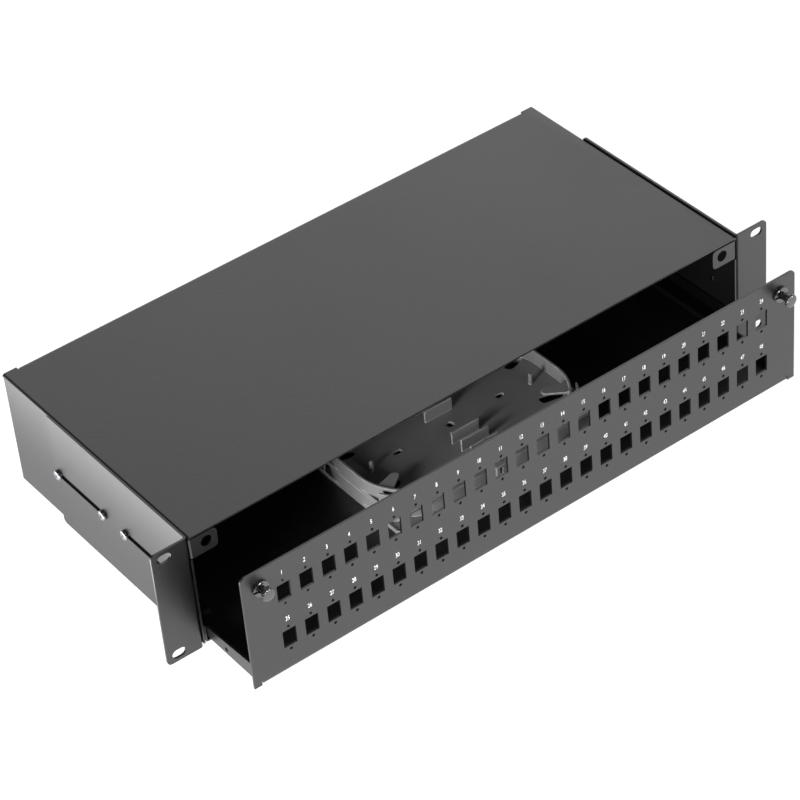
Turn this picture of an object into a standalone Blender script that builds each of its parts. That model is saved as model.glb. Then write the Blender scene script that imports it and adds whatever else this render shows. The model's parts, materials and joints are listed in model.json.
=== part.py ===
"""Sliding rack-mount fiber patch panel, 2U high, for 48 simplex adapters.

Axes: +X to the right seen from the front, +Y to the rear, +Z up, in metres.
Origin: centre of the housing's underside.
Rest pose: drawer pulled part of the way out, latch plungers pulled.
"""
import math

import bmesh
import bpy
from mathutils import Matrix, Vector

# Housing, a folded steel box that is open at the front
WIDTH = 0.430
DEPTH = 0.2064
HEIGHT = 0.085
SHEET = 0.0012
BEND_OUT = 0.0018
BEND_STEPS = 3
FIT = 0.0003
TOUCH = 0.0003
CUT_PAST = 0.010
EMPTY_SIZE = 0.03

# Rear of the housing: middle flap bent down from the top, corner flanges from the sides
REAR_CORNER = 0.0105
REAR_RELIEF = 0.0010
REAR_INSET = 0.0006
ENTRY_RADIUS = 0.0100
ENTRY_HEIGHT = 0.042
ENTRY_INNER_X = 0.060
ENTRY_OUTER_X = 0.150

# Tabs turned in at the upper front corners, which the latches snap into
TAB_WIDTH = 0.0200
TAB_DROP = 0.0166
TAB_TOP_GAP = 0.0006
TAB_ROUND = 0.0030
TAB_HOLE_RADIUS = 0.0040
LATCH_X = 0.2028
LATCH_DROP = 0.0089
RELIEF = 0.0012

# Base plate with turned-up sides, spot-welded between the side walls
BASE_SIDE_HEIGHT = 0.013
BASE_REAR_GAP = 0.0020

# Drawer guides, angles that lie over the drawer's side flanges
GUIDE_LIP = 0.0105
GUIDE_LEG = 0.0100
GUIDE_START = 0.0080
GUIDE_LENGTH = 0.1860
STOP_DROP = 0.0075
STOP_WIDTH = 0.0055

# Brackets that carry the box in a 19-inch rack
BRACKET_SHEET = 0.0015
BRACKET_BEND = 0.0022
BRACKET_LENGTH = 0.1535
BRACKET_RISE = 0.0009
BRACKET_DROP = 0.0021
EAR_REACH = 0.0260
EAR_ROUND = 0.0030
RACK_LOW = 0.00375
RACK_TOP_DROP = 0.00595
RACK_HOLE_X = 0.23255
RACK_SLOT_LENGTH = 0.0100
RACK_SLOT_HEIGHT = 0.0064
SLIDE_SLOT_Z = 0.0406
SLIDE_SLOT_HEIGHT = 0.0043
SLIDE_SLOT_FRONT = 0.0224
SLIDE_SLOT_GAP = 0.0245
SLIDE_SLOT_END = 0.0052
SCREW_RADIUS = 0.0018
SCREW_HEAD_RADIUS = 0.0035
SCREW_HEAD_HEIGHT = 0.0024
SCREW_PAST_WALL = 0.0008
CROSS_WIDTH = 0.0009
CROSS_LENGTH = 0.0040
CROSS_DEPTH = 0.0012

# Drawer: front panel and floor folded from one sheet
DRAWER_OUT = 0.05425
DRAWER_SHEET = 0.0015
DRAWER_BEND = 0.0022
DRAWER_LOW = 0.0019
PANEL_WIDTH = 0.431
PANEL_RISE = 0.0040
PANEL_ROUND = 0.0035
PANEL_FOOT = 0.0055
DRAWER_FLANGE_X = 0.2115
FLANGE_REAR = 0.0114
FLANGE_FRONT = 0.0148
FLANGE_NOTCH = 0.0060
FLANGE_TAPER_END = 0.0540
FLANGE_HOLE_RADIUS = 0.0015
FLANGE_HOLE_Y = 0.0343
FLANGE_HOLE_Z = 0.0072
EAR_STOP_WIDTH = 0.0110
TRAVEL_OUT = 0.0980

# Adapter openings: two rows of 24, each with its two screw holes
PORTS = 24
PORT_PITCH = 0.01627
PORT_WIDTH = 0.0096
PORT_HEIGHT = 0.0128
PORT_SCREW_RADIUS = 0.0011
PORT_SCREW_OFFSET = 0.00905
ROW_LOW = 0.0267
ROW_TOP_DROP = 0.0257

# Latches: a split grommet in the panel and the plunger that spreads it
COLLAR_RADIUS = 0.0055
COLLAR_HEIGHT = 0.0020
BARREL_RADIUS = 0.00345
BARREL_BORE = 0.00255
BARREL_LENGTH = 0.0045
BARREL_SLIT = 0.0011
PANEL_LATCH_HOLE = 0.00375
PLUNGER_RADIUS = 0.00225
PLUNGER_SLIT = 0.0011
PLUNGER_FLARE = 0.0031
HEAD_RADIUS = 0.0047
HEAD_THICK = 0.0031
HEAD_FLUTES = 12
FLUTE_RADIUS = 0.0007
FLUTE_OUT = 0.0003
HEAD_LEFT = 0.0080
HEAD_RIGHT = 0.0100
HEAD_PULLED = 0.0105

# Splice trays: two alike, clipped one on the other
TRAY_X = 0.0095
TRAY_Y = 0.09725
TRAY_LENGTH = 0.161
TRAY_DEPTH = 0.099
TRAY_HEIGHT = 0.01155
TRAY_FLOOR = 0.0015
TRAY_WALL = 0.0015
TRAY_CORNER = 0.0400
TRAY_PLATE_CORNER = 0.0040
TRAY_LIP = 0.0010
TRAY_LIP_HEIGHT = 0.0010
HORN_GAP = 0.0033
HORN_WALL = 0.0014
HORN_OPEN = 27.0
HORN_CLOSED = 52.0
ENTRY_FROM = 29.0
ENTRY_TO = 43.0
ENTRY_RIM = 0.0022
FINGER_ANGLE = 28.0
FINGER_IN_X = 0.0105
FINGER_IN_Y = 0.0195
FINGER_LENGTH = 0.0160
FINGER_BASE_HALF = 0.0058
FINGER_TIP_HALF = 0.0033
FINGER_THICK = 0.0014
FINGER_DROP = 0.0006
FINGER_HOLE_MARGIN = 0.0004
PIN_IN = 0.0160
PIN_Y = -0.0013
PIN_RADIUS = 0.0014
PIN_HEIGHT = 0.0080
OVAL_IN = 0.0390
OVAL_Y = 0.0022
OVAL_LENGTH = 0.0062
OVAL_WIDTH = 0.0036
CENTRE_HOLE_RADIUS = 0.0025
CENTRE_HOLE_Y = 0.0009
HOLDER_WIDTH = 0.0216
HOLDER_HEIGHT = 0.0090
HOLDER_THICK = 0.0012
HOLDER_FIRST = 0.0140
HOLDER_STEP = 0.0099
HOLDERS_PER_SIDE = 3
HOLDER_MIDDLE = -0.0007
CLIP_WIDTH = 0.0072
CLIP_PROUD = 0.0012
CLIP_LOW = 0.0044
CLIP_WINDOW_WIDTH = 0.0026
CLIP_WINDOW_HEIGHT = 0.0048
TRAY_SCREW_RADIUS = 0.0013
TRAY_SCREW_HEAD = 0.0036
TRAY_SCREW_HEAD_HEIGHT = 0.0018

# Cable entries at the rear and tie mounts behind the drawer
GROMMET_FLANGE = 0.0130
GROMMET_BORE = 0.0065
GROMMET_SIDE = 0.0030
PLUG_FLANGE = 0.0125
PLUG_CAP = 0.0025
PLUG_SKIRT = 0.0060
PLUG_WALL = 0.0015
TIE_MOUNT_X = 0.105
TIE_MOUNT_FROM_REAR = 0.0200
TIE_MOUNT_SIZE = 0.0200
TIE_MOUNT_HEIGHT = 0.0060
TIE_SLOT_WIDTH = 0.0050
TIE_SLOT_HEIGHT = 0.0022
TIE_SLOT_FLOOR = 0.0018

# Places that follow from the sizes above
FRONT = -DEPTH / 2
REAR = DEPTH / 2
WALL_OUT = WIDTH / 2
WALL_IN = WALL_OUT - SHEET
TAB_LOW = HEIGHT - TAB_DROP
LATCH_Z = HEIGHT - LATCH_DROP
BRACKET_TOP = HEIGHT + BRACKET_RISE
RACK_HIGH = BRACKET_TOP - RACK_TOP_DROP
SLIDE_SLOT_SPAN = (BRACKET_LENGTH - SLIDE_SLOT_FRONT - SLIDE_SLOT_GAP - SLIDE_SLOT_END) / 2
SLIDE_SLOT_REAR = SLIDE_SLOT_FRONT + SLIDE_SLOT_SPAN + SLIDE_SLOT_GAP
PANEL_TOP = HEIGHT + PANEL_RISE
ROW_STEP = PANEL_TOP - ROW_TOP_DROP - ROW_LOW
FINGER_BASE_X = TRAY_LENGTH / 2 - FINGER_IN_X
FINGER_BASE_Y = TRAY_DEPTH / 2 - FINGER_IN_Y
PIN_X = TRAY_LENGTH / 2 - PIN_IN
OVAL_X = TRAY_LENGTH / 2 - OVAL_IN
DRAWER_FRONT = FRONT - DRAWER_OUT
DRAWER_FLOOR_TOP = DRAWER_LOW + DRAWER_SHEET
GUIDE_Z = FLANGE_FRONT + FIT
# The stop ears meet the guides' stops after the full travel
DRAWER_LENGTH = DRAWER_OUT + GUIDE_START + FIT + TRAVEL_OUT + DRAWER_SHEET


def clear_scene():
    for old in list(bpy.data.objects):
        bpy.data.objects.remove(old, do_unlink=True)


def make_collection(name):
    collection = bpy.data.collections.new(name)
    bpy.context.scene.collection.children.link(collection)
    return collection


def make_material(name, colour, roughness, metallic=0.0):
    material = bpy.data.materials.new(name)
    material.use_nodes = True
    shader = material.node_tree.nodes["Principled BSDF"]
    shader.inputs["Base Color"].default_value = (*colour, 1.0)
    shader.inputs["Roughness"].default_value = roughness
    shader.inputs["Metallic"].default_value = metallic
    return material


clear_scene()
PARTS = make_collection("fiber_patch_panel")
CUTTERS = make_collection("cutters")

BLACK_STEEL = make_material("black_steel", (0.012, 0.012, 0.013), 0.45)
BLACK_PLASTIC = make_material("black_plastic", (0.010, 0.010, 0.011), 0.25)
GREY_PLASTIC = make_material("grey_plastic", (0.22, 0.22, 0.23), 0.50)
RUBBER = make_material("rubber", (0.015, 0.015, 0.015), 0.80)
ZINC = make_material("zinc", (0.62, 0.63, 0.65), 0.30, 1.0)


def place(obj, material=None, parent=None, location=(0, 0, 0)):
    """Put a finished piece in the parts collection."""
    for owner in list(obj.users_collection):
        owner.objects.unlink(obj)
    PARTS.objects.link(obj)
    obj.location = location
    if parent is not None:
        obj.parent = parent
    if material is not None:
        obj.data.materials.clear()
        obj.data.materials.append(material)
    return obj


def object_from_bmesh(name, bm):
    """Turn a bmesh into an object in the cutters collection, shown as wire."""
    bmesh.ops.recalc_face_normals(bm, faces=bm.faces)
    mesh = bpy.data.meshes.new(name)
    bm.to_mesh(mesh)
    bm.free()
    obj = bpy.data.objects.new(name, mesh)
    CUTTERS.objects.link(obj)
    return obj


def as_tool(obj, parent=None):
    obj.hide_render = True
    obj.display_type = 'WIRE'
    if parent is not None:
        obj.parent = parent
    return obj


def box(name, low, high):
    bm = bmesh.new()
    size = [b - a for a, b in zip(low, high)]
    middle = [(a + b) / 2 for a, b in zip(low, high)]
    matrix = Matrix.Translation(middle) @ Matrix.Diagonal((*size, 1.0))
    bmesh.ops.create_cube(bm, size=1.0, matrix=matrix)
    return object_from_bmesh(name, bm)


TURN = {
    'X': Matrix.Rotation(math.pi / 2, 4, 'Y'),
    'Y': Matrix.Rotation(-math.pi / 2, 4, 'X'),
    'Z': Matrix.Identity(4),
}


def rod(name, start, axis, radius, length, segments=16):
    """A round bar from the point start along +axis."""
    bm = bmesh.new()
    matrix = Matrix.Translation(start) @ TURN[axis] @ Matrix.Translation((0, 0, length / 2))
    bmesh.ops.create_cone(bm, cap_ends=True, segments=segments, radius1=radius, radius2=radius,
                          depth=length, matrix=matrix)
    return object_from_bmesh(name, bm)


def turned(name, profile, segments, closed=False):
    """A turned solid about Z from (radius, height) points that run down its outer side."""
    mesh = bpy.data.meshes.new(name)
    bm = bmesh.new()
    verts = [bm.verts.new((radius, 0, height)) for radius, height in profile]
    for first, second in zip(verts, verts[1:]):
        bm.edges.new((first, second))
    if closed:
        bm.edges.new((verts[-1], verts[0]))
    bm.to_mesh(mesh)
    bm.free()
    obj = bpy.data.objects.new(name, mesh)
    CUTTERS.objects.link(obj)
    screw = obj.modifiers.new("turn", 'SCREW')
    screw.steps = segments
    screw.render_steps = segments
    screw.use_merge_vertices = True
    screw.merge_threshold = 0.00001
    return obj


def bake(obj):
    """Replace an object's mesh by what its modifiers make of it."""
    bpy.context.view_layer.update()
    graph = bpy.context.evaluated_depsgraph_get()
    mesh = bpy.data.meshes.new_from_object(obj.evaluated_get(graph))
    obj.modifiers.clear()
    obj.data = mesh
    return obj


def flat(name, outlines, low, high, axis='Z'):
    """A plate from closed 2D outlines, inner ones are holes, between two heights on an axis."""
    curve = bpy.data.curves.new(name, 'CURVE')
    curve.dimensions = '2D'
    curve.fill_mode = 'BOTH'
    curve.extrude = (high - low) / 2
    for outline in outlines:
        spline = curve.splines.new('POLY')
        spline.points.add(len(outline) - 1)
        for point, (a, b) in zip(spline.points, outline):
            point.co = (a, b, 0, 1)
        spline.use_cyclic_u = True
    wire = bpy.data.objects.new(name + "_outline", curve)
    CUTTERS.objects.link(wire)
    bpy.context.view_layer.update()
    graph = bpy.context.evaluated_depsgraph_get()
    mesh = bpy.data.meshes.new_from_object(wire.evaluated_get(graph))
    bpy.data.objects.remove(wire, do_unlink=True)
    frames = {
        'X': Matrix(((0, 0, 1, 0), (1, 0, 0, 0), (0, 1, 0, 0), (0, 0, 0, 1))),
        'Y': Matrix(((1, 0, 0, 0), (0, 0, -1, 0), (0, 1, 0, 0), (0, 0, 0, 1))),
        'Z': Matrix.Identity(4),
    }
    shift = (high + low) / 2 * (-1 if axis == 'Y' else 1)
    bm = bmesh.new()
    bm.from_mesh(mesh)
    bpy.data.meshes.remove(mesh)
    bmesh.ops.remove_doubles(bm, verts=bm.verts, dist=0.000001)
    bmesh.ops.transform(bm, matrix=frames[axis] @ Matrix.Translation((0, 0, shift)), verts=bm.verts)
    return object_from_bmesh(name, bm)


def arc(centre, radius, start, end, steps):
    """Points on an arc, angles in degrees."""
    points = []
    for step in range(steps + 1):
        angle = math.radians(start + (end - start) * step / steps)
        points.append((centre[0] + radius * math.cos(angle), centre[1] + radius * math.sin(angle)))
    return points


def rounded_rectangle(width, depth, radius, steps, centre=(0, 0)):
    x, y = width / 2 - radius, depth / 2 - radius
    points = []
    for sx, sy, start in ((1, 1, 0), (-1, 1, 90), (-1, -1, 180), (1, -1, 270)):
        points += arc((centre[0] + sx * x, centre[1] + sy * y), radius, start, start + 90, steps)
    return points


def obround(length, height, centre=(0, 0), steps=6):
    """A slot outline with round ends, long way along the first axis."""
    radius = height / 2
    half = length / 2 - radius
    return (arc((centre[0] + half, centre[1]), radius, -90, 90, steps)
            + arc((centre[0] - half, centre[1]), radius, 90, 270, steps))


def boolean(obj, tool, operation='DIFFERENCE'):
    modifier = obj.modifiers.new(operation.lower(), 'BOOLEAN')
    modifier.operation = operation
    modifier.solver = 'EXACT'
    modifier.object = tool
    return obj


def repeat(obj, count, offset):
    """Copies of a tool in a straight row."""
    array = obj.modifiers.new("row", 'ARRAY')
    array.count = count
    array.use_relative_offset = False
    array.use_constant_offset = True
    array.constant_offset_displace = offset
    array.use_merge_vertices = False
    return obj


def thicken(obj, thickness, offset):
    solid = obj.modifiers.new("sheet", 'SOLIDIFY')
    solid.thickness = thickness
    solid.offset = offset
    solid.use_even_offset = True
    return obj


def smooth_round(obj, angle=35):
    mesh = obj.data
    mesh.shade_smooth()
    mesh.set_sharp_from_angle(angle=math.radians(angle))
    return obj


def split(bm, point, normal, low=None, high=None):
    """Divide a sheet along a plane, all of it or only the faces whose centres lie in a box."""
    if low is None:
        faces = list(bm.faces)
    else:
        faces = [face for face in bm.faces if inside(face.calc_center_median(), low, high)]
    edges = {edge for face in faces for edge in face.edges}
    verts = {vert for face in faces for vert in face.verts}
    geometry = list(verts) + list(edges) + faces
    bmesh.ops.bisect_plane(bm, geom=geometry, dist=0.0000001, plane_co=point, plane_no=normal)


def inside(point, low, high):
    slack = 0.00001
    return all(a - slack <= value <= b + slack for value, a, b in zip(point, low, high))


def remove_cells(bm, low, high):
    """Take the faces of a sheet whose centres lie in a box out of it."""
    chosen = [face for face in bm.faces if inside(face.calc_center_median(), low, high)]
    bmesh.ops.delete(bm, geom=chosen, context='FACES')


def edges_within(bm, low, high, boundary=None):
    found = []
    for edge in bm.edges:
        if boundary is not None and edge.is_boundary != boundary:
            continue
        if all(inside(vert.co, low, high) for vert in edge.verts):
            found.append(edge)
    return found


def flap(bm, low, high, move):
    """Fold a flap out of the sheet's free edges inside a box."""
    edges = edges_within(bm, low, high, boundary=True)
    made = bmesh.ops.extrude_edge_only(bm, edges=edges)
    verts = [item for item in made['geom'] if isinstance(item, bmesh.types.BMVert)]
    bmesh.ops.translate(bm, verts=verts, vec=move)
    return verts


def bend(bm, edges, radius, steps=BEND_STEPS):
    bmesh.ops.bevel(bm, geom=edges, offset=radius, offset_type='OFFSET', segments=steps,
                    profile=0.5, affect='EDGES', clamp_overlap=False)


def round_corners(bm, verts, radius, steps=4):
    bmesh.ops.bevel(bm, geom=verts, offset=radius, offset_type='OFFSET', segments=steps,
                    profile=0.5, affect='VERTICES', clamp_overlap=False)


def verts_at(bm, points):
    found = []
    for vert in bm.verts:
        for point in points:
            if (vert.co - Vector(point)).length < 0.00002:
                found.append(vert)
    return found


def sheet_object(name, bm, thickness, offset):
    """Merge the folded sheet's flat parts and give it its thickness."""
    bmesh.ops.dissolve_limit(bm, angle_limit=math.radians(0.5), verts=bm.verts, edges=bm.edges,
                             use_dissolve_boundaries=False)
    mesh = bpy.data.meshes.new(name)
    bm.to_mesh(mesh)
    bm.free()
    obj = bpy.data.objects.new(name, mesh)
    CUTTERS.objects.link(obj)
    thicken(obj, thickness, offset)
    return obj


def face_outward(bm, sample, direction):
    """Turn all faces so that the one nearest a point looks along a direction."""
    bmesh.ops.recalc_face_normals(bm, faces=bm.faces)
    bm.faces.ensure_lookup_table()
    nearest = min(bm.faces, key=lambda face: (face.calc_center_median() - Vector(sample)).length)
    nearest.normal_update()
    if nearest.normal.dot(Vector(direction)) < 0:
        bmesh.ops.reverse_faces(bm, faces=bm.faces)


def housing_shell():
    """Top, sides, rear flap, rear corner flanges and latch tabs, all one folded sheet."""
    bm = bmesh.new()
    matrix = Matrix.Translation((0, 0, HEIGHT / 2)) @ Matrix.Diagonal((WIDTH, DEPTH, HEIGHT, 1))
    bmesh.ops.create_cube(bm, size=1.0, matrix=matrix)
    # Open the front, the underside and, for now, the rear
    open_faces = [face for face in bm.faces
                  if abs(face.normal.y) > 0.5 or face.normal.z < -0.5]
    bmesh.ops.delete(bm, geom=open_faces, context='FACES')
    bends = []
    for side in (-1, 1):
        bends += edges_within(bm, (side * WALL_OUT, FRONT, HEIGHT), (side * WALL_OUT, REAR, HEIGHT))
    bend(bm, bends, BEND_OUT)
    relief_y = REAR - BEND_OUT - RELIEF
    tab_relief_y = FRONT + BEND_OUT + RELIEF
    corner_x = WALL_OUT - REAR_CORNER
    flap_x = corner_x - REAR_RELIEF
    flange_top = HEIGHT - BEND_OUT - TAB_TOP_GAP
    relief_top = HEIGHT - BEND_OUT
    for y in (relief_y, tab_relief_y):
        split(bm, (0, y, 0), (0, 1, 0))
    for x in (corner_x, flap_x):
        split(bm, (x, 0, 0), (1, 0, 0))
        split(bm, (-x, 0, 0), (1, 0, 0))
    split(bm, (0, 0, flange_top), (0, 0, 1))
    for z in (TAB_LOW - RELIEF, TAB_LOW):
        split(bm, (0, 0, z), (0, 0, 1), (-WALL_OUT, FRONT, 0), (WALL_OUT, tab_relief_y, flange_top))
    split(bm, (0, REAR - REAR_INSET, 0), (0, 1, 0), (-flap_x, relief_y, HEIGHT), (flap_x, REAR, HEIGHT))
    # Reliefs at the ends of each bend
    for side in (-1, 1):
        wall = side * WALL_OUT
        near, far = sorted((side * flap_x, side * corner_x))
        remove_cells(bm, (near, relief_y, HEIGHT), (far, REAR, HEIGHT))
        remove_cells(bm, (wall, FRONT, TAB_LOW - RELIEF), (wall, tab_relief_y, TAB_LOW))
        remove_cells(bm, (wall, FRONT, flange_top), (wall, tab_relief_y, relief_top))
        remove_cells(bm, (wall, relief_y, flange_top), (wall, REAR, relief_top))
    remove_cells(bm, (-flap_x, REAR - REAR_INSET, HEIGHT), (flap_x, REAR, HEIGHT))
    # Rear flap from the top, corner flanges and latch tabs from the side walls
    rear_y = REAR - REAR_INSET
    flap(bm, (-flap_x, rear_y, HEIGHT), (flap_x, rear_y, HEIGHT),
         (0, 0, -(HEIGHT - SHEET - 2 * TOUCH)))
    tab_corners = []
    for side in (-1, 1):
        wall = side * WALL_OUT
        flap(bm, (wall, REAR, 0), (wall, REAR, flange_top), (-side * REAR_CORNER, 0, 0))
        flap(bm, (wall, FRONT, TAB_LOW), (wall, FRONT, flange_top), (-side * TAB_WIDTH, 0, 0))
        tab_corners += [(wall - side * TAB_WIDTH, FRONT, TAB_LOW),
                        (wall - side * TAB_WIDTH, FRONT, flange_top)]
    round_corners(bm, verts_at(bm, tab_corners), TAB_ROUND)
    bends = []
    for side in (-1, 1):
        wall = side * WALL_OUT
        bends += edges_within(bm, (wall, REAR, 0), (wall, REAR, flange_top), boundary=False)
        bends += edges_within(bm, (wall, FRONT, TAB_LOW), (wall, FRONT, flange_top), boundary=False)
    bends += edges_within(bm, (-flap_x, rear_y, HEIGHT), (flap_x, rear_y, HEIGHT), boundary=False)
    bend(bm, bends, BEND_OUT)
    face_outward(bm, (0, 0, HEIGHT), (0, 0, 1))
    shell = sheet_object("housing_shell", bm, SHEET, -1.0)
    for side in (-1, 1):
        hole = rod("tab_hole", (side * LATCH_X, FRONT - 0.005, LATCH_Z), 'Y',
                   TAB_HOLE_RADIUS, 0.012, 20)
        boolean(shell, as_tool(hole))
        for y in screw_rows():
            start = side * WALL_OUT - 0.005
            hole = rod("wall_hole", (start, y, SLIDE_SLOT_Z), 'X',
                       SLIDE_SLOT_HEIGHT / 2, 0.010, 12)
            boolean(shell, as_tool(hole))
        for x in (ENTRY_INNER_X, ENTRY_OUTER_X):
            hole = rod("entry_hole", (side * x, REAR - CUT_PAST, ENTRY_HEIGHT), 'Y',
                       ENTRY_RADIUS, 2 * CUT_PAST, 24)
            boolean(shell, as_tool(hole))
    return place(shell, BLACK_STEEL)


def screw_rows():
    """Depths of the four screws of one side, front to rear."""
    front = FRONT + SLIDE_SLOT_FRONT
    rear = FRONT + SLIDE_SLOT_REAR
    return (front, front + SLIDE_SLOT_SPAN, rear, rear + SLIDE_SLOT_SPAN)


def housing_base():
    """Bottom plate with both sides turned up."""
    bm = bmesh.new()
    half = WALL_IN - FIT
    rear = REAR - SHEET - BASE_REAR_GAP
    depth = rear - FRONT
    matrix = Matrix.Translation((0, (rear + FRONT) / 2, 0)) @ Matrix.Diagonal((half, depth / 2, 1, 1))
    bmesh.ops.create_grid(bm, x_segments=1, y_segments=1, size=1.0, matrix=matrix)
    for side in (-1, 1):
        flap(bm, (side * half, FRONT, 0), (side * half, rear, 0), (0, 0, BASE_SIDE_HEIGHT))
    bends = []
    for side in (-1, 1):
        bends += edges_within(bm, (side * half, FRONT, 0), (side * half, rear, 0), boundary=False)
    bend(bm, bends, BEND_OUT)
    face_outward(bm, (0, 0, 0), (0, 0, -1))
    base = sheet_object("housing_base", bm, SHEET, -1.0)
    return place(base, BLACK_STEEL)


def drawer_guide(side):
    """Angle on the side wall whose lip runs over the drawer flange, with a stop at its front."""
    name = "drawer_guide_left" if side < 0 else "drawer_guide_right"
    bm = bmesh.new()
    outer = side * (WALL_IN - FIT)
    inner = outer - side * GUIDE_LIP
    y0 = FRONT + GUIDE_START
    y1 = y0 + GUIDE_LENGTH
    low, high = sorted((outer, inner))
    middle = Matrix.Translation(((low + high) / 2, (y0 + y1) / 2, GUIDE_Z))
    scale = Matrix.Diagonal(((high - low) / 2, (y1 - y0) / 2, 1, 1))
    bmesh.ops.create_grid(bm, x_segments=1, y_segments=1, size=1.0, matrix=middle @ scale)
    stop = inner + side * STOP_WIDTH
    split(bm, (stop, 0, 0), (1, 0, 0))
    relief = stop + side * RELIEF
    split(bm, (relief, 0, 0), (1, 0, 0))
    depth = y0 + BEND_OUT + RELIEF
    split(bm, (0, depth, 0), (0, 1, 0))
    near, far = sorted((stop, relief))
    remove_cells(bm, (near, y0, GUIDE_Z), (far, depth, GUIDE_Z))
    flap(bm, (outer, y0, GUIDE_Z), (outer, y1, GUIDE_Z), (0, 0, GUIDE_LEG))
    near, far = sorted((inner, stop))
    flap(bm, (near, y0, GUIDE_Z), (far, y0, GUIDE_Z), (0, 0, -STOP_DROP))
    bends = edges_within(bm, (outer, y0, GUIDE_Z), (outer, y1, GUIDE_Z), boundary=False)
    bend(bm, bends, BEND_OUT)
    bends = edges_within(bm, (near, y0, GUIDE_Z), (far, y0, GUIDE_Z), boundary=False)
    bend(bm, bends, BEND_OUT)
    face_outward(bm, ((low + high) / 2, (y0 + y1) / 2, GUIDE_Z), (0, 0, -1))
    guide = sheet_object(name, bm, SHEET, -1.0)
    return place(guide, BLACK_STEEL)


def bracket(side):
    """Side plate with two long slots and the rack ear at its front."""
    name = "bracket_left" if side < 0 else "bracket_right"
    bm = bmesh.new()
    x = side * (WALL_OUT + FIT)
    low, high = -BRACKET_DROP, BRACKET_TOP
    tip = side * (WALL_OUT + EAR_REACH + FIT)
    near, far = sorted((x, tip))
    middle = Matrix.Translation(((near + far) / 2, FRONT, (low + high) / 2))
    stand = Matrix.Rotation(math.pi / 2, 4, 'X')
    scale = Matrix.Diagonal(((far - near) / 2, (high - low) / 2, 1, 1))
    bmesh.ops.create_grid(bm, x_segments=1, y_segments=1, size=1.0, matrix=middle @ stand @ scale)
    flap(bm, (x, FRONT, low), (x, FRONT, high), (0, BRACKET_LENGTH, 0))
    corners = [(tip, FRONT, low), (tip, FRONT, high), (x, FRONT + BRACKET_LENGTH, low),
               (x, FRONT + BRACKET_LENGTH, high)]
    round_corners(bm, verts_at(bm, corners), EAR_ROUND)
    bends = edges_within(bm, (x, FRONT, low), (x, FRONT, high), boundary=False)
    bend(bm, bends, BRACKET_BEND, 4)
    face_outward(bm, ((near + far) / 2, FRONT, (low + high) / 2), (0, -1, 0))
    plate = sheet_object(name, bm, BRACKET_SHEET, -1.0)
    for z in (RACK_LOW, RACK_HIGH):
        slot = obround(RACK_SLOT_LENGTH, RACK_SLOT_HEIGHT, (side * RACK_HOLE_X, z))
        tool = flat("rack_slot", [slot], FRONT - 0.004, FRONT + 0.006, 'Y')
        boolean(plate, as_tool(tool))
    for y in (SLIDE_SLOT_FRONT, SLIDE_SLOT_REAR):
        middle_y = FRONT + y + SLIDE_SLOT_SPAN / 2
        slot = obround(SLIDE_SLOT_SPAN + SLIDE_SLOT_HEIGHT, SLIDE_SLOT_HEIGHT,
                       (middle_y, SLIDE_SLOT_Z))
        ends = sorted((x - side * 0.004, x + side * 0.006))
        tool = flat("slide_slot", [slot], ends[0], ends[1], 'X')
        boolean(plate, as_tool(tool))
    return place(plate, BLACK_STEEL)


def pan_head_profile(radius, height, shank, length):
    """Half outline of a pan head screw, its bearing face at height 0, run down its outer side."""
    edge = height * 0.45
    return [(0, height), (radius * 0.62, height), (radius * 0.90, height * 0.80),
            (radius, edge), (radius, 0), (shank, 0), (shank, -length + 0.0003),
            (shank - 0.0003, -length), (0, -length)]


def screw(name, radius, height, shank, length, turn, location, material=ZINC, parent=None):
    """Pan head screw with a cross recess, turned so that its head looks along the rotated +Z."""
    body = turned(name, pan_head_profile(radius, height, shank, length), 12)
    bake(body)
    for half_x, half_y in ((CROSS_LENGTH / 2, CROSS_WIDTH / 2), (CROSS_WIDTH / 2, CROSS_LENGTH / 2)):
        tool = box("cross", (-half_x, -half_y, height - CROSS_DEPTH), (half_x, half_y, height + 0.001))
        boolean(body, as_tool(tool))
        bake(body)
        bpy.data.objects.remove(tool, do_unlink=True)
    smooth_round(body)
    place(body, material, parent, location)
    body.rotation_euler = turn
    return body


def bracket_screws():
    """Four screws on each side, at both ends of each slot."""
    length = FIT + BRACKET_SHEET + TOUCH + SHEET + SCREW_PAST_WALL
    for side, word in ((-1, "left"), (1, "right")):
        x = side * (WALL_OUT + FIT + BRACKET_SHEET + TOUCH)
        turn = (0, side * math.pi / 2, 0)
        for number, y in enumerate(screw_rows(), start=1):
            screw(f"bracket_screw_{word}_{number}", SCREW_HEAD_RADIUS, SCREW_HEAD_HEIGHT,
                  SCREW_RADIUS, length, turn, (x, y, SLIDE_SLOT_Z))


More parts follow.
